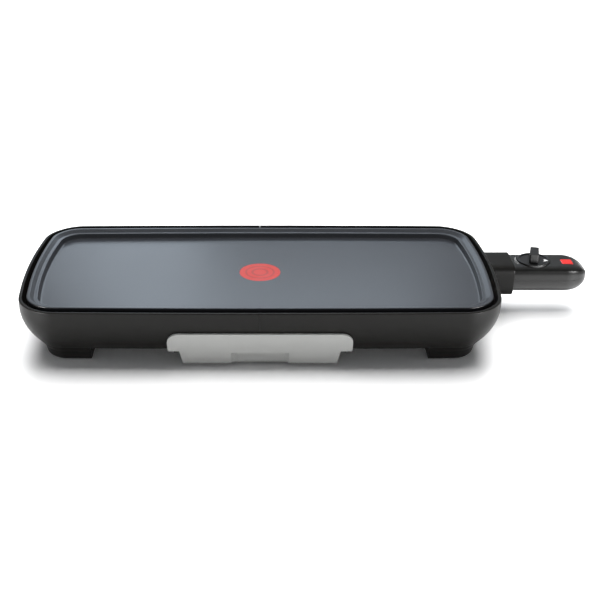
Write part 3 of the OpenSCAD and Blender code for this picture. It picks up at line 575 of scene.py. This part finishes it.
BLACK = (0.0060, 0.0057, 0.0051)
BLACK_LIGHT = (0.0090, 0.0086, 0.0078)
MATERIALS = {
    "base_plastic": moulded("base_black", BLACK, BLACK_LIGHT, (0.38, 0.43), specular=0.14),
    "runner_plastic": moulded("runner_black", (0.014, 0.014, 0.014), (0.02, 0.02, 0.02),
                              (0.4, 0.5)),
    # Painted sheen on the housing: bright underside and top, a dull band on the sides, set by
    # which way the surface faces.
    "housing_plastic": moulded("housing_black", (0.006, 0.006, 0.006), (0.009, 0.009, 0.008),
                               (0.29, 0.34), mottle=60.0,
                               painted_sheen=[(0.20, 0.8), (0.40, 0.9), (0.49, 0.45), (0.53, 0.1),
                                       (0.75, 0.1), (0.97, 0.85)]),
    "dial_plastic": moulded("dial_black", (0.007, 0.007, 0.007), (0.011, 0.011, 0.011),
                            (0.30, 0.38), mottle=90.0),
    "tray_plastic": moulded("tray_grey", (0.34, 0.343, 0.333), (0.365, 0.368, 0.357),
                            (0.40, 0.48), specular=0.4),
    "pad_rubber": moulded("pad_rubber", (0.012, 0.012, 0.012), (0.022, 0.022, 0.022),
                          (0.7, 0.85), 900.0, 0.00005, 0.3),
    "gland_rubber": moulded("gland_rubber", (0.012, 0.012, 0.012), (0.02, 0.02, 0.02),
                            (0.55, 0.7), 1200.0, 0.00004, 0.35),
    "phenolic": moulded("phenolic", (0.045, 0.018, 0.010), (0.075, 0.030, 0.016),
                        (0.3, 0.42), 400.0, 0.00003),
    "bush_ceramic": moulded("bush_ceramic", (0.62, 0.58, 0.50), (0.74, 0.70, 0.62),
                            (0.45, 0.6), 1400.0, 0.00003),
    "lamp_glass": moulded("lamp_glass", (0.60, 0.24, 0.12), (0.80, 0.36, 0.18),
                          (0.05, 0.12), 300.0, 0.00001),
    "zinc_steel": metal("zinc_steel", (0.42, 0.43, 0.45), (0.58, 0.59, 0.60)),
    "aluminised_steel": metal("aluminised_steel", (0.50, 0.51, 0.52), (0.66, 0.66, 0.66),
                              (0.34, 0.5), (1.0, 1.0, 1.0), 60.0),
    "screw_steel": metal("screw_steel", (0.20, 0.20, 0.21), (0.34, 0.34, 0.35), (0.3, 0.4),
                         (8.0, 8.0, 1.0), 300.0),
    "element_steel": metal("element_steel", (0.22, 0.20, 0.18), (0.38, 0.35, 0.32),
                           (0.4, 0.6), (4.0, 4.0, 4.0), 60.0),
    "contact_brass": metal("contact_brass", (0.55, 0.40, 0.16), (0.72, 0.54, 0.24),
                           (0.25, 0.38), (1.0, 6.0, 6.0), 160.0),
    "bimetal": metal("bimetal", (0.50, 0.38, 0.28), (0.62, 0.50, 0.38), (0.3, 0.42)),
    "nonstick_plate": nonstick(),
    "spot_red": spot_red(),
    "lens_red": glowing_lens(),
}
MARK_GREY = moulded("mark_grey", (0.40, 0.40, 0.40), (0.50, 0.50, 0.50), (0.45, 0.55))


# ---------------------------------------------------------------- base

DRAIN_IN = 17.5
DRAIN_Y = -(PLATE_HD - DRAIN_IN)
SCREW_HOLE_R = 1.5
HEAD_R = 2.8
PAD_R = 9.0
PAD_GAP = 0.05
FOOT_IN_X = 180.0
FOOT_IN_Y = 60.0
FOOT_INSET = TUCK + 2.5
POST_R = 5.0
post_lo, post_hi = node_box("heat_reflector")
POST_TOP = post_lo.z
POST_Y = post_hi.y - POST_R - 0.3
POST_X = (70.0, 166.0)
JOINT_SCREW_X = (18.0, 33.0)
SEAT_X = 150.0
SEAT_Y = post_hi.y + POST_R + 1.3
SEAT_TOP = UNDER_Z - 8.3


def foot_ring(inset, inner, z):
    """A corner of the base's outline, closed towards the middle by a rounded inside corner."""
    x_in, y_in = FOOT_IN_X + inner, FOOT_IN_Y + inner
    ring = [p for p in base_outline(inset)[:51]]
    out = []
    for a, b in zip(ring, ring[1:]):
        if a[1] < y_in <= b[1]:
            t = (y_in - a[1]) / (b[1] - a[1])
            out.append((a[0] + t * (b[0] - a[0]), y_in))
        if b[1] > y_in and b[0] > x_in:
            out.append(b)
        if a[0] > x_in >= b[0]:
            t = (a[0] - x_in) / (a[0] - b[0])
            out.append((x_in, a[1] + t * (b[1] - a[1])))
    r = 6.0
    inside = [(x_in + r - r * math.cos(a), y_in + r - r * math.sin(a))
              for a in (math.pi / 2 * k / 6 for k in range(7))]
    out += inside
    return evenly([Vector(p) for p in out], 96, z)


def evenly(loop, count, z):
    """The closed loop as a number of points at equal distances along it."""
    lengths = [(loop[(i + 1) % len(loop)] - p).length for i, p in enumerate(loop)]
    total = sum(lengths)
    out, i, start = [], 0, 0.0
    for k in range(count):
        s = total * k / count
        while start + lengths[i] < s:
            start += lengths[i]
            i += 1
        p = loop[i].lerp(loop[(i + 1) % len(loop)], (s - start) / max(lengths[i], 1e-9))
        out.append((p.x, p.y, z))
    return out


def foot(sy):
    """One corner foot of the left half, its lower edges well rounded."""
    profile = arc_profile([(skirt_in(SKIRT_Z + 1.2) + 0.6, SKIRT_Z + 1.2, 0),
                           (TUCK + 0.06, SKIRT_Z, 0), (FOOT_INSET + 0.8, SKIRT_Z - 6, 6),
                           (FOOT_INSET + 3.2, FOOT_Z, 6.5), (FOOT_INSET + 12, FOOT_Z, 0)], 7)
    rings = [[(-x, sy * y, z) for x, y, z in
              foot_ring(inset, max(0.0, inset - FOOT_INSET - 3.2) * 0.5 if z < 6 else 0.0, z)]
             for inset, z in profile]
    return loft(rings)


def half_shell(side, notched):
    """One half of the base: wall, floor flange, feet, posts and holes."""
    section = wall_section(SKIRT_Z)
    quarter = len(base_outline(0)) // 4
    obj = make_object(side, sweep([[(x, y, z) for x, y in
                                    base_outline(inset)[quarter:3 * quarter + 1]]
                                   for inset, z in section]))
    add(obj, foot(1), foot(-1))
    posts = [rod(-x, sy * POST_Y, POST_R, FLANGE_Z - 1, POST_TOP)
             for x in POST_X for sy in (-1, 1)]
    posts += [rod(-SEAT_X, sy * SEAT_Y, POST_R, FLANGE_Z - 1, SEAT_TOP) for sy in (-1, 1)]
    add(obj, joined(*posts))
    x0, y0 = FOOT_IN_X + WALL, FOOT_IN_Y + WALL
    x1, y1 = BASE_HW - SIDE_BOW - FOOT_INSET - 12.5, BASE_HD - FRONT_BOW - FOOT_INSET - 7.5
    hollows = [soft_block((-x1, min(sy * y0, sy * y1), FOOT_Z + 3.5),
                          (-x0, max(sy * y0, sy * y1), FLANGE_Z + 2), 2.5, 0.4)
               for sy in (-1, 1)]
    cut(obj, joined(*hollows))
    pad_hi = node_box("foot_pads")[1]
    holes = [rod(-x, sy * POST_Y, SCREW_HOLE_R, FLANGE_Z - 2, POST_TOP + 1)
             for x in POST_X for sy in (-1, 1)]
    joint_y = (node_box("rear_joint_plate")[0].y + node_box("rear_joint_plate")[1].y) / 2
    holes += [rod(-x, sy * joint_y, SCREW_HOLE_R, SKIRT_Z + 0.6, FLANGE_Z + 1)
              for x in JOINT_SCREW_X for sy in (-1, 1)]
    holes += [rod(-(pad_hi.x - SEAM / 2 - PAD_R), sy * (pad_hi.y - PAD_R), PAD_R + PAD_GAP, -1,
                  pad_hi.z) for sy in (-1, 1)]
    cut(obj, joined(*holes))
    cut(obj, rod(0, DRAIN_Y, 7.5, SKIRT_Z - 1, FLANGE_Z + 1, 64))
    if notched:
        cut(obj, block((-BASE_HW - 2, shroud_lo.y - 0.4, SKIRT_Z + 1.5),
                       (-BASE_HW + FLANGE_IN + 1, shroud_hi.y + 0.4, RIM_Z + 2)))
    mesh = obj.data
    for v in mesh.vertices:
        x = v.co.x - MIDDLE.x - SEAM / 2 * MM
        v.co.x = (-x if notched else x) + MIDDLE.x
    if notched:
        mesh.flip_normals()
    return obj


for side, notched, node in (("base_left_shell", False, "base_left"),
                            ("base_right_shell", True, "base_right")):
    finish_piece(half_shell(side, notched), "base", [node],
                 MATERIALS["base_plastic"], 0.3, 40.0)


def foot_pads():
    lo, hi = node_box("foot_pads")
    r = PAD_R
    profile = arc_profile([(0.5, lo.z + 0.5, 0), (4.2, lo.z + 0.5, 0.2), (4.6, lo.z, 0.3),
                           (r, lo.z, 0.7), (r, hi.z, 0.2), (0.5, hi.z, 0)], 4)
    pads = [lathe(profile, (sx * (hi.x - r), sy * (hi.y - r), 0), "Z", 56)
            for sx in (-1, 1) for sy in (-1, 1)]
    return make_object("foot_pads_moulded", joined(*pads))


finish_piece(foot_pads(), "base", ["foot_pads"], MATERIALS["pad_rubber"])


# ---------------------------------------------------------------- cooking plate

LEDGE_Z = PLATE_TOP - 3.0
DRAIN_R = 3.5
BRACKET_X = node_box("terminal_bracket")[1].x - 1.5
clamp_lo, clamp_hi = node_box("element_clamps")
CLAMP_X, CLAMP_TOP = clamp_hi.x - 5.0, clamp_hi.z
CLAMP_ROWS = (clamp_lo.y + 14.0, clamp_hi.y - 14.0)
CLAMP_SCREW = 9.0
CLAMP_SPOTS = [(sx * CLAMP_X, row + e * CLAMP_SCREW)
               for sx in (-1, 1) for row in CLAMP_ROWS for e in (-1, 1)]
probe_lo, probe_hi = node_box("probe_rod")
PROBE_R = (probe_hi.y - probe_lo.y) / 2
PROBE_Z = probe_hi.z - PROBE_R
SLIDE_GAP = 0.4


def cooking_plate():
    profile = arc_profile([(26, UNDER_Z, 0), (4, UNDER_Z, 1.2), (1.4, SURF_Z, 4),
                           (PLATE_INSET, PLATE_TOP - 3, 3), (PLATE_INSET, PLATE_TOP, 0.9),
                           (3.1, PLATE_TOP, 0.9), (7.2, LEDGE_Z, 1.4), (10.6, LEDGE_Z, 1.0),
                           (12.2, SURF_Z, 2.2), (17, SURF_Z, 0)], 6)
    obj = make_object("cooking_plate_cast", loft(
        [[(x, y, z) for x, y in plate_outline(inset)] for inset, z in profile]))
    spout = lathe([(5.2, plate_lo.z), (6, plate_lo.z + 0.8), (6, UNDER_Z - 3),
                   (7.5, UNDER_Z - 0.5), (7.5, UNDER_Z + 1)], (0, DRAIN_Y, 0), "Z", 48)
    boss_x = BRACKET_X - 10.0
    boss = soft_block((boss_x - 40, THERMO_Y - 7, PROBE_Z - PROBE_R - 2.5),
                      (boss_x, THERMO_Y + 7, UNDER_Z + 1.5), 2.0, 0.6)
    posts = [rod(sx * SEAT_X, sy * SEAT_Y, POST_R - 1, UNDER_Z - 8, UNDER_Z + 1)
             for sx in (-1, 1) for sy in (-1, 1)]
    posts += [rod(x, y, 3.5, CLAMP_TOP, UNDER_Z + 1) for x, y in CLAMP_SPOTS]
    add(obj, joined(spout, boss, *posts))
    dish = lathe([(DRAIN_R, plate_lo.z - 2), (DRAIN_R, SURF_Z - 0.9),
                  (DRAIN_R + 0.3, SURF_Z - 0.4), (DRAIN_R + 1.4, SURF_Z - 0.05),
                  (DRAIN_R + 2.2, SURF_Z + 0.6)],
                 (0, DRAIN_Y, 0), "Z", 48)
    cut(obj, dish)
    cut(obj, rod(0, 0, spot_hi.x + 0.05, SURF_Z - 0.62, PLATE_TOP, 96))
    cut(obj, rod_x(THERMO_Y, PROBE_Z, PROBE_R + SLIDE_GAP, probe_lo.x - SLIDE_GAP, boss_x + 2))
    screws = [rod(x, y, SCREW_HOLE_R, CLAMP_TOP - 1, UNDER_Z + 1) for x, y in CLAMP_SPOTS]
    heads_lo, heads_hi = node_box("bracket_screws")
    screws += [rod(BRACKET_X - 9, y, SCREW_HOLE_R, UNDER_Z - 1, SURF_Z - 1.2)
               for y in (heads_lo.y + HEAD_R, heads_hi.y - HEAD_R)]
    cut(obj, joined(*screws))
    return obj


finish_piece(cooking_plate(), "plate", ["cooking_plate"],
             MATERIALS["nonstick_plate"], 0.25, 40.0)

spot = lathe(arc_profile([(1, spot_lo.z, 0), (spot_hi.x, spot_lo.z, 0.05),
                          (spot_hi.x, spot_hi.z, 0.15), (1, spot_hi.z, 0)], 4),
             (0, 0, 0), "Z", 96)
finish_piece(make_object("temperature_spot", spot), "plate", ["heat_spot"],
             MATERIALS["spot_red"])


# ---------------------------------------------------------------- drip tray

PANEL_LEAN = math.atan(2 * TUCK / (3 * (RIM_Z - SKIRT_Z))) + math.radians(3)
PANEL_TOP_Z = BELLY_Z - 15.0
PANEL_H = 42.0
PANEL_LOW_H = 18.0
PANEL_T = 2.3
PANEL_HW = tray_hi.x
PANEL_LOW_HW = 85.0
GRIP_HW = 30.5
GRIP_H = 15.5
GRIP_D = 5.0
GRIP_TAPER = 5.4
TRAY_HW = node_box("tray_runner_right")[0].x - SLIDE_GAP
TRAY_TOP = SKIRT_Z - 1.5
TRAY_FRONT = -(BASE_HD - TUCK + 3.5)
LIP_W = 5.5
LIP_T = 1.5


def drip_tray():
    right = arc_profile([(0, 0, 0), (PANEL_LOW_HW - 3.5, 0, 1.6), (PANEL_LOW_HW, PANEL_LOW_H, 1.2),
                         (PANEL_HW, PANEL_LOW_H, 1.4), (PANEL_HW, PANEL_H - 12, 0)], 5)
    right += [(PANEL_HW - 12 + 12 * math.cos(a), PANEL_H - 12 + 12 * math.sin(a))
              for a in (math.pi / 2 * k / 16 for k in range(1, 17))]
    shape = right[1:] + [(-x, z) for x, z in right[:0:-1]]
    lay = Matrix(((1, 0, 0, 0), (0, 0, 1, 0), (0, 1, 0, 0), (0, 0, 0, 1)))
    panel = moved(prism(shape, 0, PANEL_T), lay)
    obj = make_object("drip_tray_moulded", panel)
    back = GRIP_D + PANEL_T
    add(obj, block((-GRIP_HW - PANEL_T, 0.5, 0.02),
                   (GRIP_HW + PANEL_T, back, PANEL_LOW_H - 0.2)))
    g = GRIP_HW
    pocket = prism([(-g - 1, -1), (g + 1, -1), (g, 0), (g - GRIP_TAPER, GRIP_D),
                    (-g + GRIP_TAPER, GRIP_D), (-g, 0)], -1, GRIP_H)
    cut(obj, pocket)
    round_edges(obj, 0.55, 30, 4)
    hinge = (Matrix.Translation((0, tray_lo.y, PANEL_TOP_Z))
             @ Matrix.Rotation(PANEL_LEAN, 4, "X") @ Matrix.Translation((0, 0, -PANEL_H)))
    place_mesh(obj, hinge)
    pan = make_object("pan", soft_block((-TRAY_HW, TRAY_FRONT, tray_lo.z),
                                        (TRAY_HW, tray_hi.y, TRAY_TOP), 7, 1.6))
    add(pan, soft_block((-TRAY_HW - LIP_W, TRAY_FRONT + 6, TRAY_TOP - LIP_T),
                        (TRAY_HW + LIP_W, tray_hi.y, TRAY_TOP - 0.01), 3, 0.35))
    wall = 2.0
    cut(pan, soft_block((-TRAY_HW + wall, TRAY_FRONT + wall, tray_lo.z + wall),
                        (TRAY_HW - wall, tray_hi.y - wall, TRAY_TOP + 6), 5, 2.4))
    combine_object(pan, obj)
    pan.name = "drip_tray_moulded"
    return pan


finish_piece(drip_tray(), "tray", ["drip_tray"], MATERIALS["tray_plastic"],
             0.25, 50.0)


# ---------------------------------------------------------------- thermostat and its socket

SHROUD_T = 2.8
SHROUD_DROP = 1.0
WALL_X = NOSE_X - 2.5
BACK_X = WALL_X - 2.7
PIN_Y = node_box("terminal_pins")[1].y - 2.3 - THERMO_Y
PIN_Z = THERMO_Z + 1.0
EARTH_Z = THERMO_Z - 8.0
RING_N = 96


def thermo_ring(x, a, b, dz=0.0):
    """The body's section: flat on top, round below."""
    ring = []
    for k in range(RING_N):
        t = 2 * math.pi * (k + 0.5) / RING_N
        c, s = math.cos(t), math.sin(t)
        p = 2 / (6.0 if s > 0 else 4.0)
        ring.append((x, THERMO_Y + a * math.copysign(abs(c) ** p, c),
                     THERMO_Z + dz + b * math.copysign(abs(s) ** p, s)))
    return ring


def collar():
    section = wall_section(shroud_lo.z, False)
    steps = 10
    return loft([[(BASE_HW - inset - SIDE_BOW * (y / (BASE_HD - inset)) ** 2, y, z)
                  for inset, z in section]
                 for y in (shroud_hi.y + (shroud_lo.y - shroud_hi.y) * j / steps
                           for j in range(steps + 1))])


def terminal_shroud():
    a, b = THERMO_A + SLIDE_GAP, THERMO_B + SLIDE_GAP
    edge = arc_profile([(BACK_X, 0, 0), (SHROUD_X, 0, 1.1), (SHROUD_X, 2.4, 0)], 5)
    tube = make_object("terminal_shroud_moulded", loft(
        [thermo_ring(x, a + SHROUD_T - d, b + SHROUD_T - d, -SHROUD_DROP) for x, d in edge]))
    cut(tube, block((BACK_X - 1, -BASE_HD, UNDER_Z - 0.3),
                    (PLATE_HW + SLIDE_GAP, BASE_HD, RIM_Z)))
    wall = make_object("collar", collar())
    cut(wall, block((0, THERMO_Y - a, 0), (BACK_X, THERMO_Y + a, THERMO_Z + b)))
    combine_object(tube, wall)
    lug_y, lug_z, lug_r = 19.0, node_box("terminal_bracket")[0].z + 5, 3.4
    for sy in (-1, 1):
        add(tube, rod_x(THERMO_Y + sy * lug_y, lug_z, lug_r, BRACKET_X + 1.5, BACK_X + 1))
    cut(tube, loft([thermo_ring(WALL_X, a, b), thermo_ring(SHROUD_X - 0.7, a, b),
                    thermo_ring(SHROUD_X + 0.6, a + 1.0, b + 1.0)]))
    holes = [rod_x(THERMO_Y + sy * PIN_Y, PIN_Z, 2.7, BRACKET_X, WALL_X + 1) for sy in (-1, 1)]
    holes += [rod_x(THERMO_Y + sy * lug_y, lug_z, 1.5, BRACKET_X, BACK_X) for sy in (-1, 1)]
    holes += [rod_x(THERMO_Y, PROBE_Z, PROBE_R + SLIDE_GAP, BRACKET_X, WALL_X + 1),
              rod_x(THERMO_Y, EARTH_Z, 2.7, BRACKET_X, WALL_X + 1)]
    cut(tube, joined(*holes))
    return tube


finish_piece(terminal_shroud(), "plate", ["terminal_shroud"],
             MATERIALS["base_plastic"], 0.3, 40.0)

SHELL_T = 2.2
END_ROUND = 28.0
dial_lo, dial_hi = node_box("dial_knob")
DIAL_X, DIAL_Y = (dial_lo.x + dial_hi.x) / 2, (dial_lo.y + dial_hi.y) / 2
DIAL_R = (dial_hi.x - dial_lo.x) / 2
DIAL_T = 3.0
DIAL_SEAT = dial_lo.z - SLIDE_GAP
lens_lo, lens_hi = node_box("lamp_lens")
lens_x, lens_y = (lens_lo.x + lens_hi.x) / 2, (lens_lo.y + lens_hi.y) / 2
gland_lo, gland_hi = node_box("cord_gland")
GLAND_X, GLAND_R = (gland_lo.x + gland_hi.x) / 2, (gland_hi.x - gland_lo.x) / 2 - 2.0
screw_lo, screw_hi = node_box("housing_screws")
SCREWS = ((screw_lo.x + HEAD_R, screw_lo.y + HEAD_R),
          (screw_hi.x - HEAD_R, screw_hi.y - HEAD_R))


def body_shape(x0, skin):
    """The body's envelope, drawn in by skin and closed by a round end."""
    a, b = THERMO_A - skin, THERMO_B - skin
    straight = END_X - END_ROUND * 0.98
    reach = END_ROUND * 0.98 - skin
    rings = [thermo_ring(x0, a, b)]
    for k in range(15):
        u = math.radians(86) * k / 14
        t = math.sin(u) / math.sin(math.radians(86))
        close = math.cos(u) ** 0.96
        rings.append(thermo_ring(straight + reach * t, a * close, b * close))
    return loft(rings)


def housing_shell(name):
    obj = make_object(name, body_shape(NOSE_X, 0))
    cut(obj, body_shape(NOSE_X - 1, SHELL_T))
    return obj


def gland_hole():
    wall = THERMO_Y + THERMO_A
    return lathe([(GLAND_R + 0.05, wall - 7), (GLAND_R + 0.05, wall + 1)],
                 (GLAND_X, 0, THERMO_Z), "Y", 48)


def housing_top():
    obj = housing_shell("housing_top_moulded")
    pad = make_object("pad", body_shape(NOSE_X, SHELL_T / 2))
    combine(pad, "INTERSECT",
            rod(DIAL_X, DIAL_Y, DIAL_R + 2, DIAL_SEAT - SHELL_T, DIAL_SEAT + 0.6, 80))
    combine_object(obj, pad)
    add(obj, joined(*[rod(x, y, 3.2, THERMO_Z, THERMO_Z + THERMO_B - SHELL_T - 0.6)
                      for x, y in SCREWS]))
    cut(obj, block((NOSE_X - 2, body_lo.y - 1, 0), (END_X + 1, body_hi.y + 1, THERMO_Z + 0.1)))
    cut(obj, rod(DIAL_X, DIAL_Y, DIAL_R + 0.6, DIAL_SEAT, RIM_Z, 96))
    cut(obj, rod(DIAL_X, DIAL_Y, 3.08, THERMO_Z, RIM_Z))
    window = 6.5
    cut(obj, soft_block((lens_x - window, lens_y - window, THERMO_Z),
                        (lens_x + window, lens_y + window, RIM_Z), 1.7, 0.1))
    cut(obj, gland_hole())
    return obj


def housing_bottom():
    obj = housing_shell("housing_bottom_moulded")
    floor_z = THERMO_Z - THERMO_B + SHELL_T
    add(obj, joined(*[rod(x, y, 3.2, floor_z, THERMO_Z) for x, y in SCREWS]))
    cut(obj, block((NOSE_X - 2, body_lo.y - 1, THERMO_Z - 0.1),
                   (END_X + 1, body_hi.y + 1, RIM_Z)))
    cut(obj, gland_hole())
    cut(obj, joined(*[lathe([(2.9, 0), (2.9, screw_lo.z + 1.8), (1.6, screw_lo.z + 1.8),
                             (1.6, THERMO_Z + 1)], (x, y, 0), "Z", 40) for x, y in SCREWS]))
    return obj


for maker, node in ((housing_top, "housing_top"), (housing_bottom, "housing_bottom")):
    finish_piece(maker(), "thermostat", [node],
                 MATERIALS["housing_plastic"], 0.3, 40.0)

LENS_HW = 6.4
lens = make_object("lamp_lens_moulded", soft_block(
    (lens_x - LENS_HW, lens_y - LENS_HW, lens_lo.z + 0.3),
    (lens_x + LENS_HW, lens_y + LENS_HW, lens_hi.z), 1.6, 0.8))
add(lens, soft_block((lens_lo.x, lens_lo.y, lens_lo.z), (lens_hi.x, lens_hi.y, lens_lo.z + 1.4),
                     1.0, 0.2))
finish_piece(lens, "thermostat", ["lamp_lens"], MATERIALS["lens_red"])

gland_profile = [(GLAND_R, gland_lo.y + 1.5, 0.1)]
rib = 1.5
stations = []
y = THERMO_Y + THERMO_A + 1.0
while y + rib < gland_hi.y - 0.8:
    stations += [(GLAND_R, y, 0.15), (GLAND_R, y + rib * 0.5, 0.15),
                 (GLAND_R - 0.8, y + rib * 0.55, 0.1), (GLAND_R - 0.8, y + rib * 0.95, 0.1)]
    y += rib
gland = make_object("cord_gland_moulded", lathe(arc_profile(
    [(1, gland_lo.y, 0), (GLAND_R + 2, gland_lo.y, 0.3), (GLAND_R + 2, gland_lo.y + 1.5, 0.3)]
    + gland_profile + stations
    + [(GLAND_R, y, 0.2), (GLAND_R, gland_hi.y, 0.7), (1, gland_hi.y, 0)], 3),
    (GLAND_X, 0, THERMO_Z), "Y", 56))
CORD_R = 3.5
cut(gland, lathe([(CORD_R, gland_lo.y - 1), (CORD_R, gland_hi.y + 1)],
                 (GLAND_X, 0, THERMO_Z), "Y", 48))
finish_piece(gland, "thermostat", ["cord_gland"], MATERIALS["gland_rubber"])

# Setting marks left of the dial, growing from low to high
marks = []
for k in range(6):
    a = math.radians(158 + 9 * k)
    length, width = 1.6 + 0.28 * k, 0.55
    r = DIAL_R + 1.5
    bar = soft_block((r, -width / 2, THERMO_Z + THERMO_B - 0.25),
                     (r + length, width / 2, THERMO_Z + THERMO_B + 0.08), 0.22, 0.05, 3)
    marks.append(moved(bar, Matrix.Translation((DIAL_X, DIAL_Y, 0)) @ Matrix.Rotation(a, 4, "Z")))
finish_piece(make_object("setting_marks", joined(*marks)), "thermostat", [],
             MARK_GREY)


# ---------------------------------------------------------------- dial

BAR_HW = 5.0
BAR_HL = 11.5
BAR_ANGLE = math.radians(-13)
DIAL_TURN = Matrix.Translation((DIAL_X, DIAL_Y, 0)) @ Matrix.Rotation(BAR_ANGLE, 4, "Z")


def dial_knob():
    z0, z1 = dial_lo.z, dial_lo.z + DIAL_T
    disc = lathe(arc_profile([(0.5, z0, 0), (DIAL_R, z0, 0.3), (DIAL_R, z1, 0.7),
                              (DIAL_R - 2.3, z1, 0.4), (DIAL_R - 3.0, z1 - 1.1, 0.3),
                              (0.5, z1 - 1.1, 0)], 4), (DIAL_X, DIAL_Y, 0), "Z", 96)
    obj = make_object("dial_moulded", disc)
    teeth, depth = 9, 0.45
    side = []
    usable = BAR_HL - 2.2
    for k in range(teeth):
        y0 = -usable + 2 * usable * k / teeth
        step = 2 * usable / teeth
        side += [(BAR_HW, y0 + 0.1 * step), (BAR_HW, y0 + 0.55 * step),
                 (BAR_HW - depth, y0 + 0.65 * step), (BAR_HW - depth, y0 + step)]
    plan = ([(-BAR_HW + 1.3, -BAR_HL), (BAR_HW - 1.3, -BAR_HL), (BAR_HW, -BAR_HL + 1.3)] + side
            + [(BAR_HW, BAR_HL - 1.3), (BAR_HW - 1.3, BAR_HL), (-BAR_HW + 1.3, BAR_HL),
               (-BAR_HW, BAR_HL - 1.3)] + [(-x, y) for x, y in side[::-1]]
            + [(-BAR_HW, -BAR_HL + 1.3)])
    grip = make_object("grip", prism(plan, z1 - 1.8, dial_hi.z))
    round_edges(grip, 0.35, 60)
    place_mesh(grip, DIAL_TURN)
    combine_object(obj, grip)
    cut(obj, rod(DIAL_X, DIAL_Y, 3.05, z0 - 1, z1 + 2))
    return obj


finish_piece(dial_knob(), "dial", ["dial_knob"], MATERIALS["dial_plastic"],
             0.12, 45.0)

pointer = moved(prism([(17.4, 0), (11.0, 3.2), (12.2, 0), (11.0, -3.2)],
                      dial_lo.z + DIAL_T - 1.3, dial_lo.z + DIAL_T - 0.2), DIAL_TURN)
finish_piece(make_object("dial_pointer", pointer), "dial", [], MARK_GREY,
             0.12, 45.0)


# ---------------------------------------------------------------- CAD nodes that stay

for node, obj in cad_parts.items():
    for slot in obj.material_slots:
        name = slot.material.name.split(".")[0] if slot.material else ""
        if name in MATERIALS:
            slot.material = MATERIALS[name]
        else:
            print("slot without a finish:", node, name)


# ---------------------------------------------------------------- floor, light and camera

def floor():
    points = [Vector((x, y, 0)) / MM for x, y in ((-9, -9), (9, -9), (9, 9), (-9, 9))]
    obj = make_object("floor", (points, [(0, 1, 2, 3)]))
    material, nodes, links, shader, place = node_material("pale_floor")
    slow = noise(nodes, links, place, 0.6, 2.0)
    links.new(ramp(nodes, links, slow, [(0.3, 0.86), (0.7, 0.88)]), shader.inputs["Base Color"])
    shader.inputs["Roughness"].default_value = 0.9
    shader.inputs["Specular IOR Level"].default_value = 0.1
    obj.data.materials.append(material)


COOL = (0.76, 0.88, 1.0)


def area_light(name, place, target, size, power, colour=(1, 1, 1)):
    data = bpy.data.lights.new(name, "AREA")
    data.shape = "RECTANGLE"
    data.size, data.size_y = size
    data.energy = power
    data.color = colour
    obj = bpy.data.objects.new(name, data)
    obj.location = place
    obj.rotation_euler = (Vector(target) - Vector(place)).to_track_quat("-Z", "Y").to_euler()
    obj.visible_camera = False
    bpy.context.scene.collection.objects.link(obj)
    return obj


floor()
overhead = area_light("overhead", (0.0, 0.35, 2.0), (0.0, 0.0, 0.0), (2.4, 1.6), 78.0)
overhead.visible_glossy = False
front = area_light("front", (0.0, -2.2, 1.0), (0.0, 0.0, 0.04), (1.8, 0.8), 4.2)
front.visible_glossy = False
area_light("rear_left", (-0.44, 1.55, 0.68), (-0.12, 0.0, 0.05), (0.46, 0.34), 1.3, COOL)
area_light("rear_mid", (-0.04, 1.55, 1.06), (0.0, 0.0, 0.05), (0.95, 0.26), 3.4, COOL)
area_light("rear_wide", (0.40, 1.60, 1.20), (0.05, 0.0, 0.05), (1.3, 0.4), 0.5, COOL)
SLIT_Z = 0.036
for name, x, y in (("corner_left", -1.28, -0.90), ("corner_right", 1.08, -0.88)):
    light = area_light(name, (x, y, SLIT_Z), (x * 0.25, -0.1, SLIT_Z), (0.5, 0.06), 36.0)
    light.visible_diffuse = False

sun = bpy.data.lights.new("sky_wash", "SUN")
sun.energy = 5.0
sun.angle = math.radians(40)
sun_obj = bpy.data.objects.new("sky_wash", sun)
sun_obj.rotation_euler = (math.radians(-46), math.radians(4), 0)
sun_obj.visible_glossy = False
bpy.context.scene.collection.objects.link(sun_obj)

world = bpy.data.worlds.new("studio")
world.use_nodes = True
world.node_tree.nodes["Background"].inputs["Color"].default_value = (0.95, 0.97, 1.0, 1)
world.node_tree.nodes["Background"].inputs["Strength"].default_value = 0.2
bpy.context.scene.world = world
bpy.context.scene.view_settings.view_transform = "Standard"

CAMERA_BACK = 1.0853
CAMERA_HEIGHT = 0.5707
CAMERA_PITCH = 26.66
CAMERA_LENS = 63.8
CAMERA_SHIFT = 0.0667
camera_data = bpy.data.cameras.new("camera")
camera_data.lens = CAMERA_LENS
camera_data.sensor_width = 36.0
camera_data.shift_x = CAMERA_SHIFT
camera_data.clip_end = 30.0
camera = bpy.data.objects.new("camera", camera_data)
camera.location = (MIDDLE.x, -CAMERA_BACK, CAMERA_HEIGHT)
camera.rotation_euler = (math.radians(90 - CAMERA_PITCH), 0, 0)
bpy.context.scene.collection.objects.link(camera)
bpy.context.scene.camera = camera
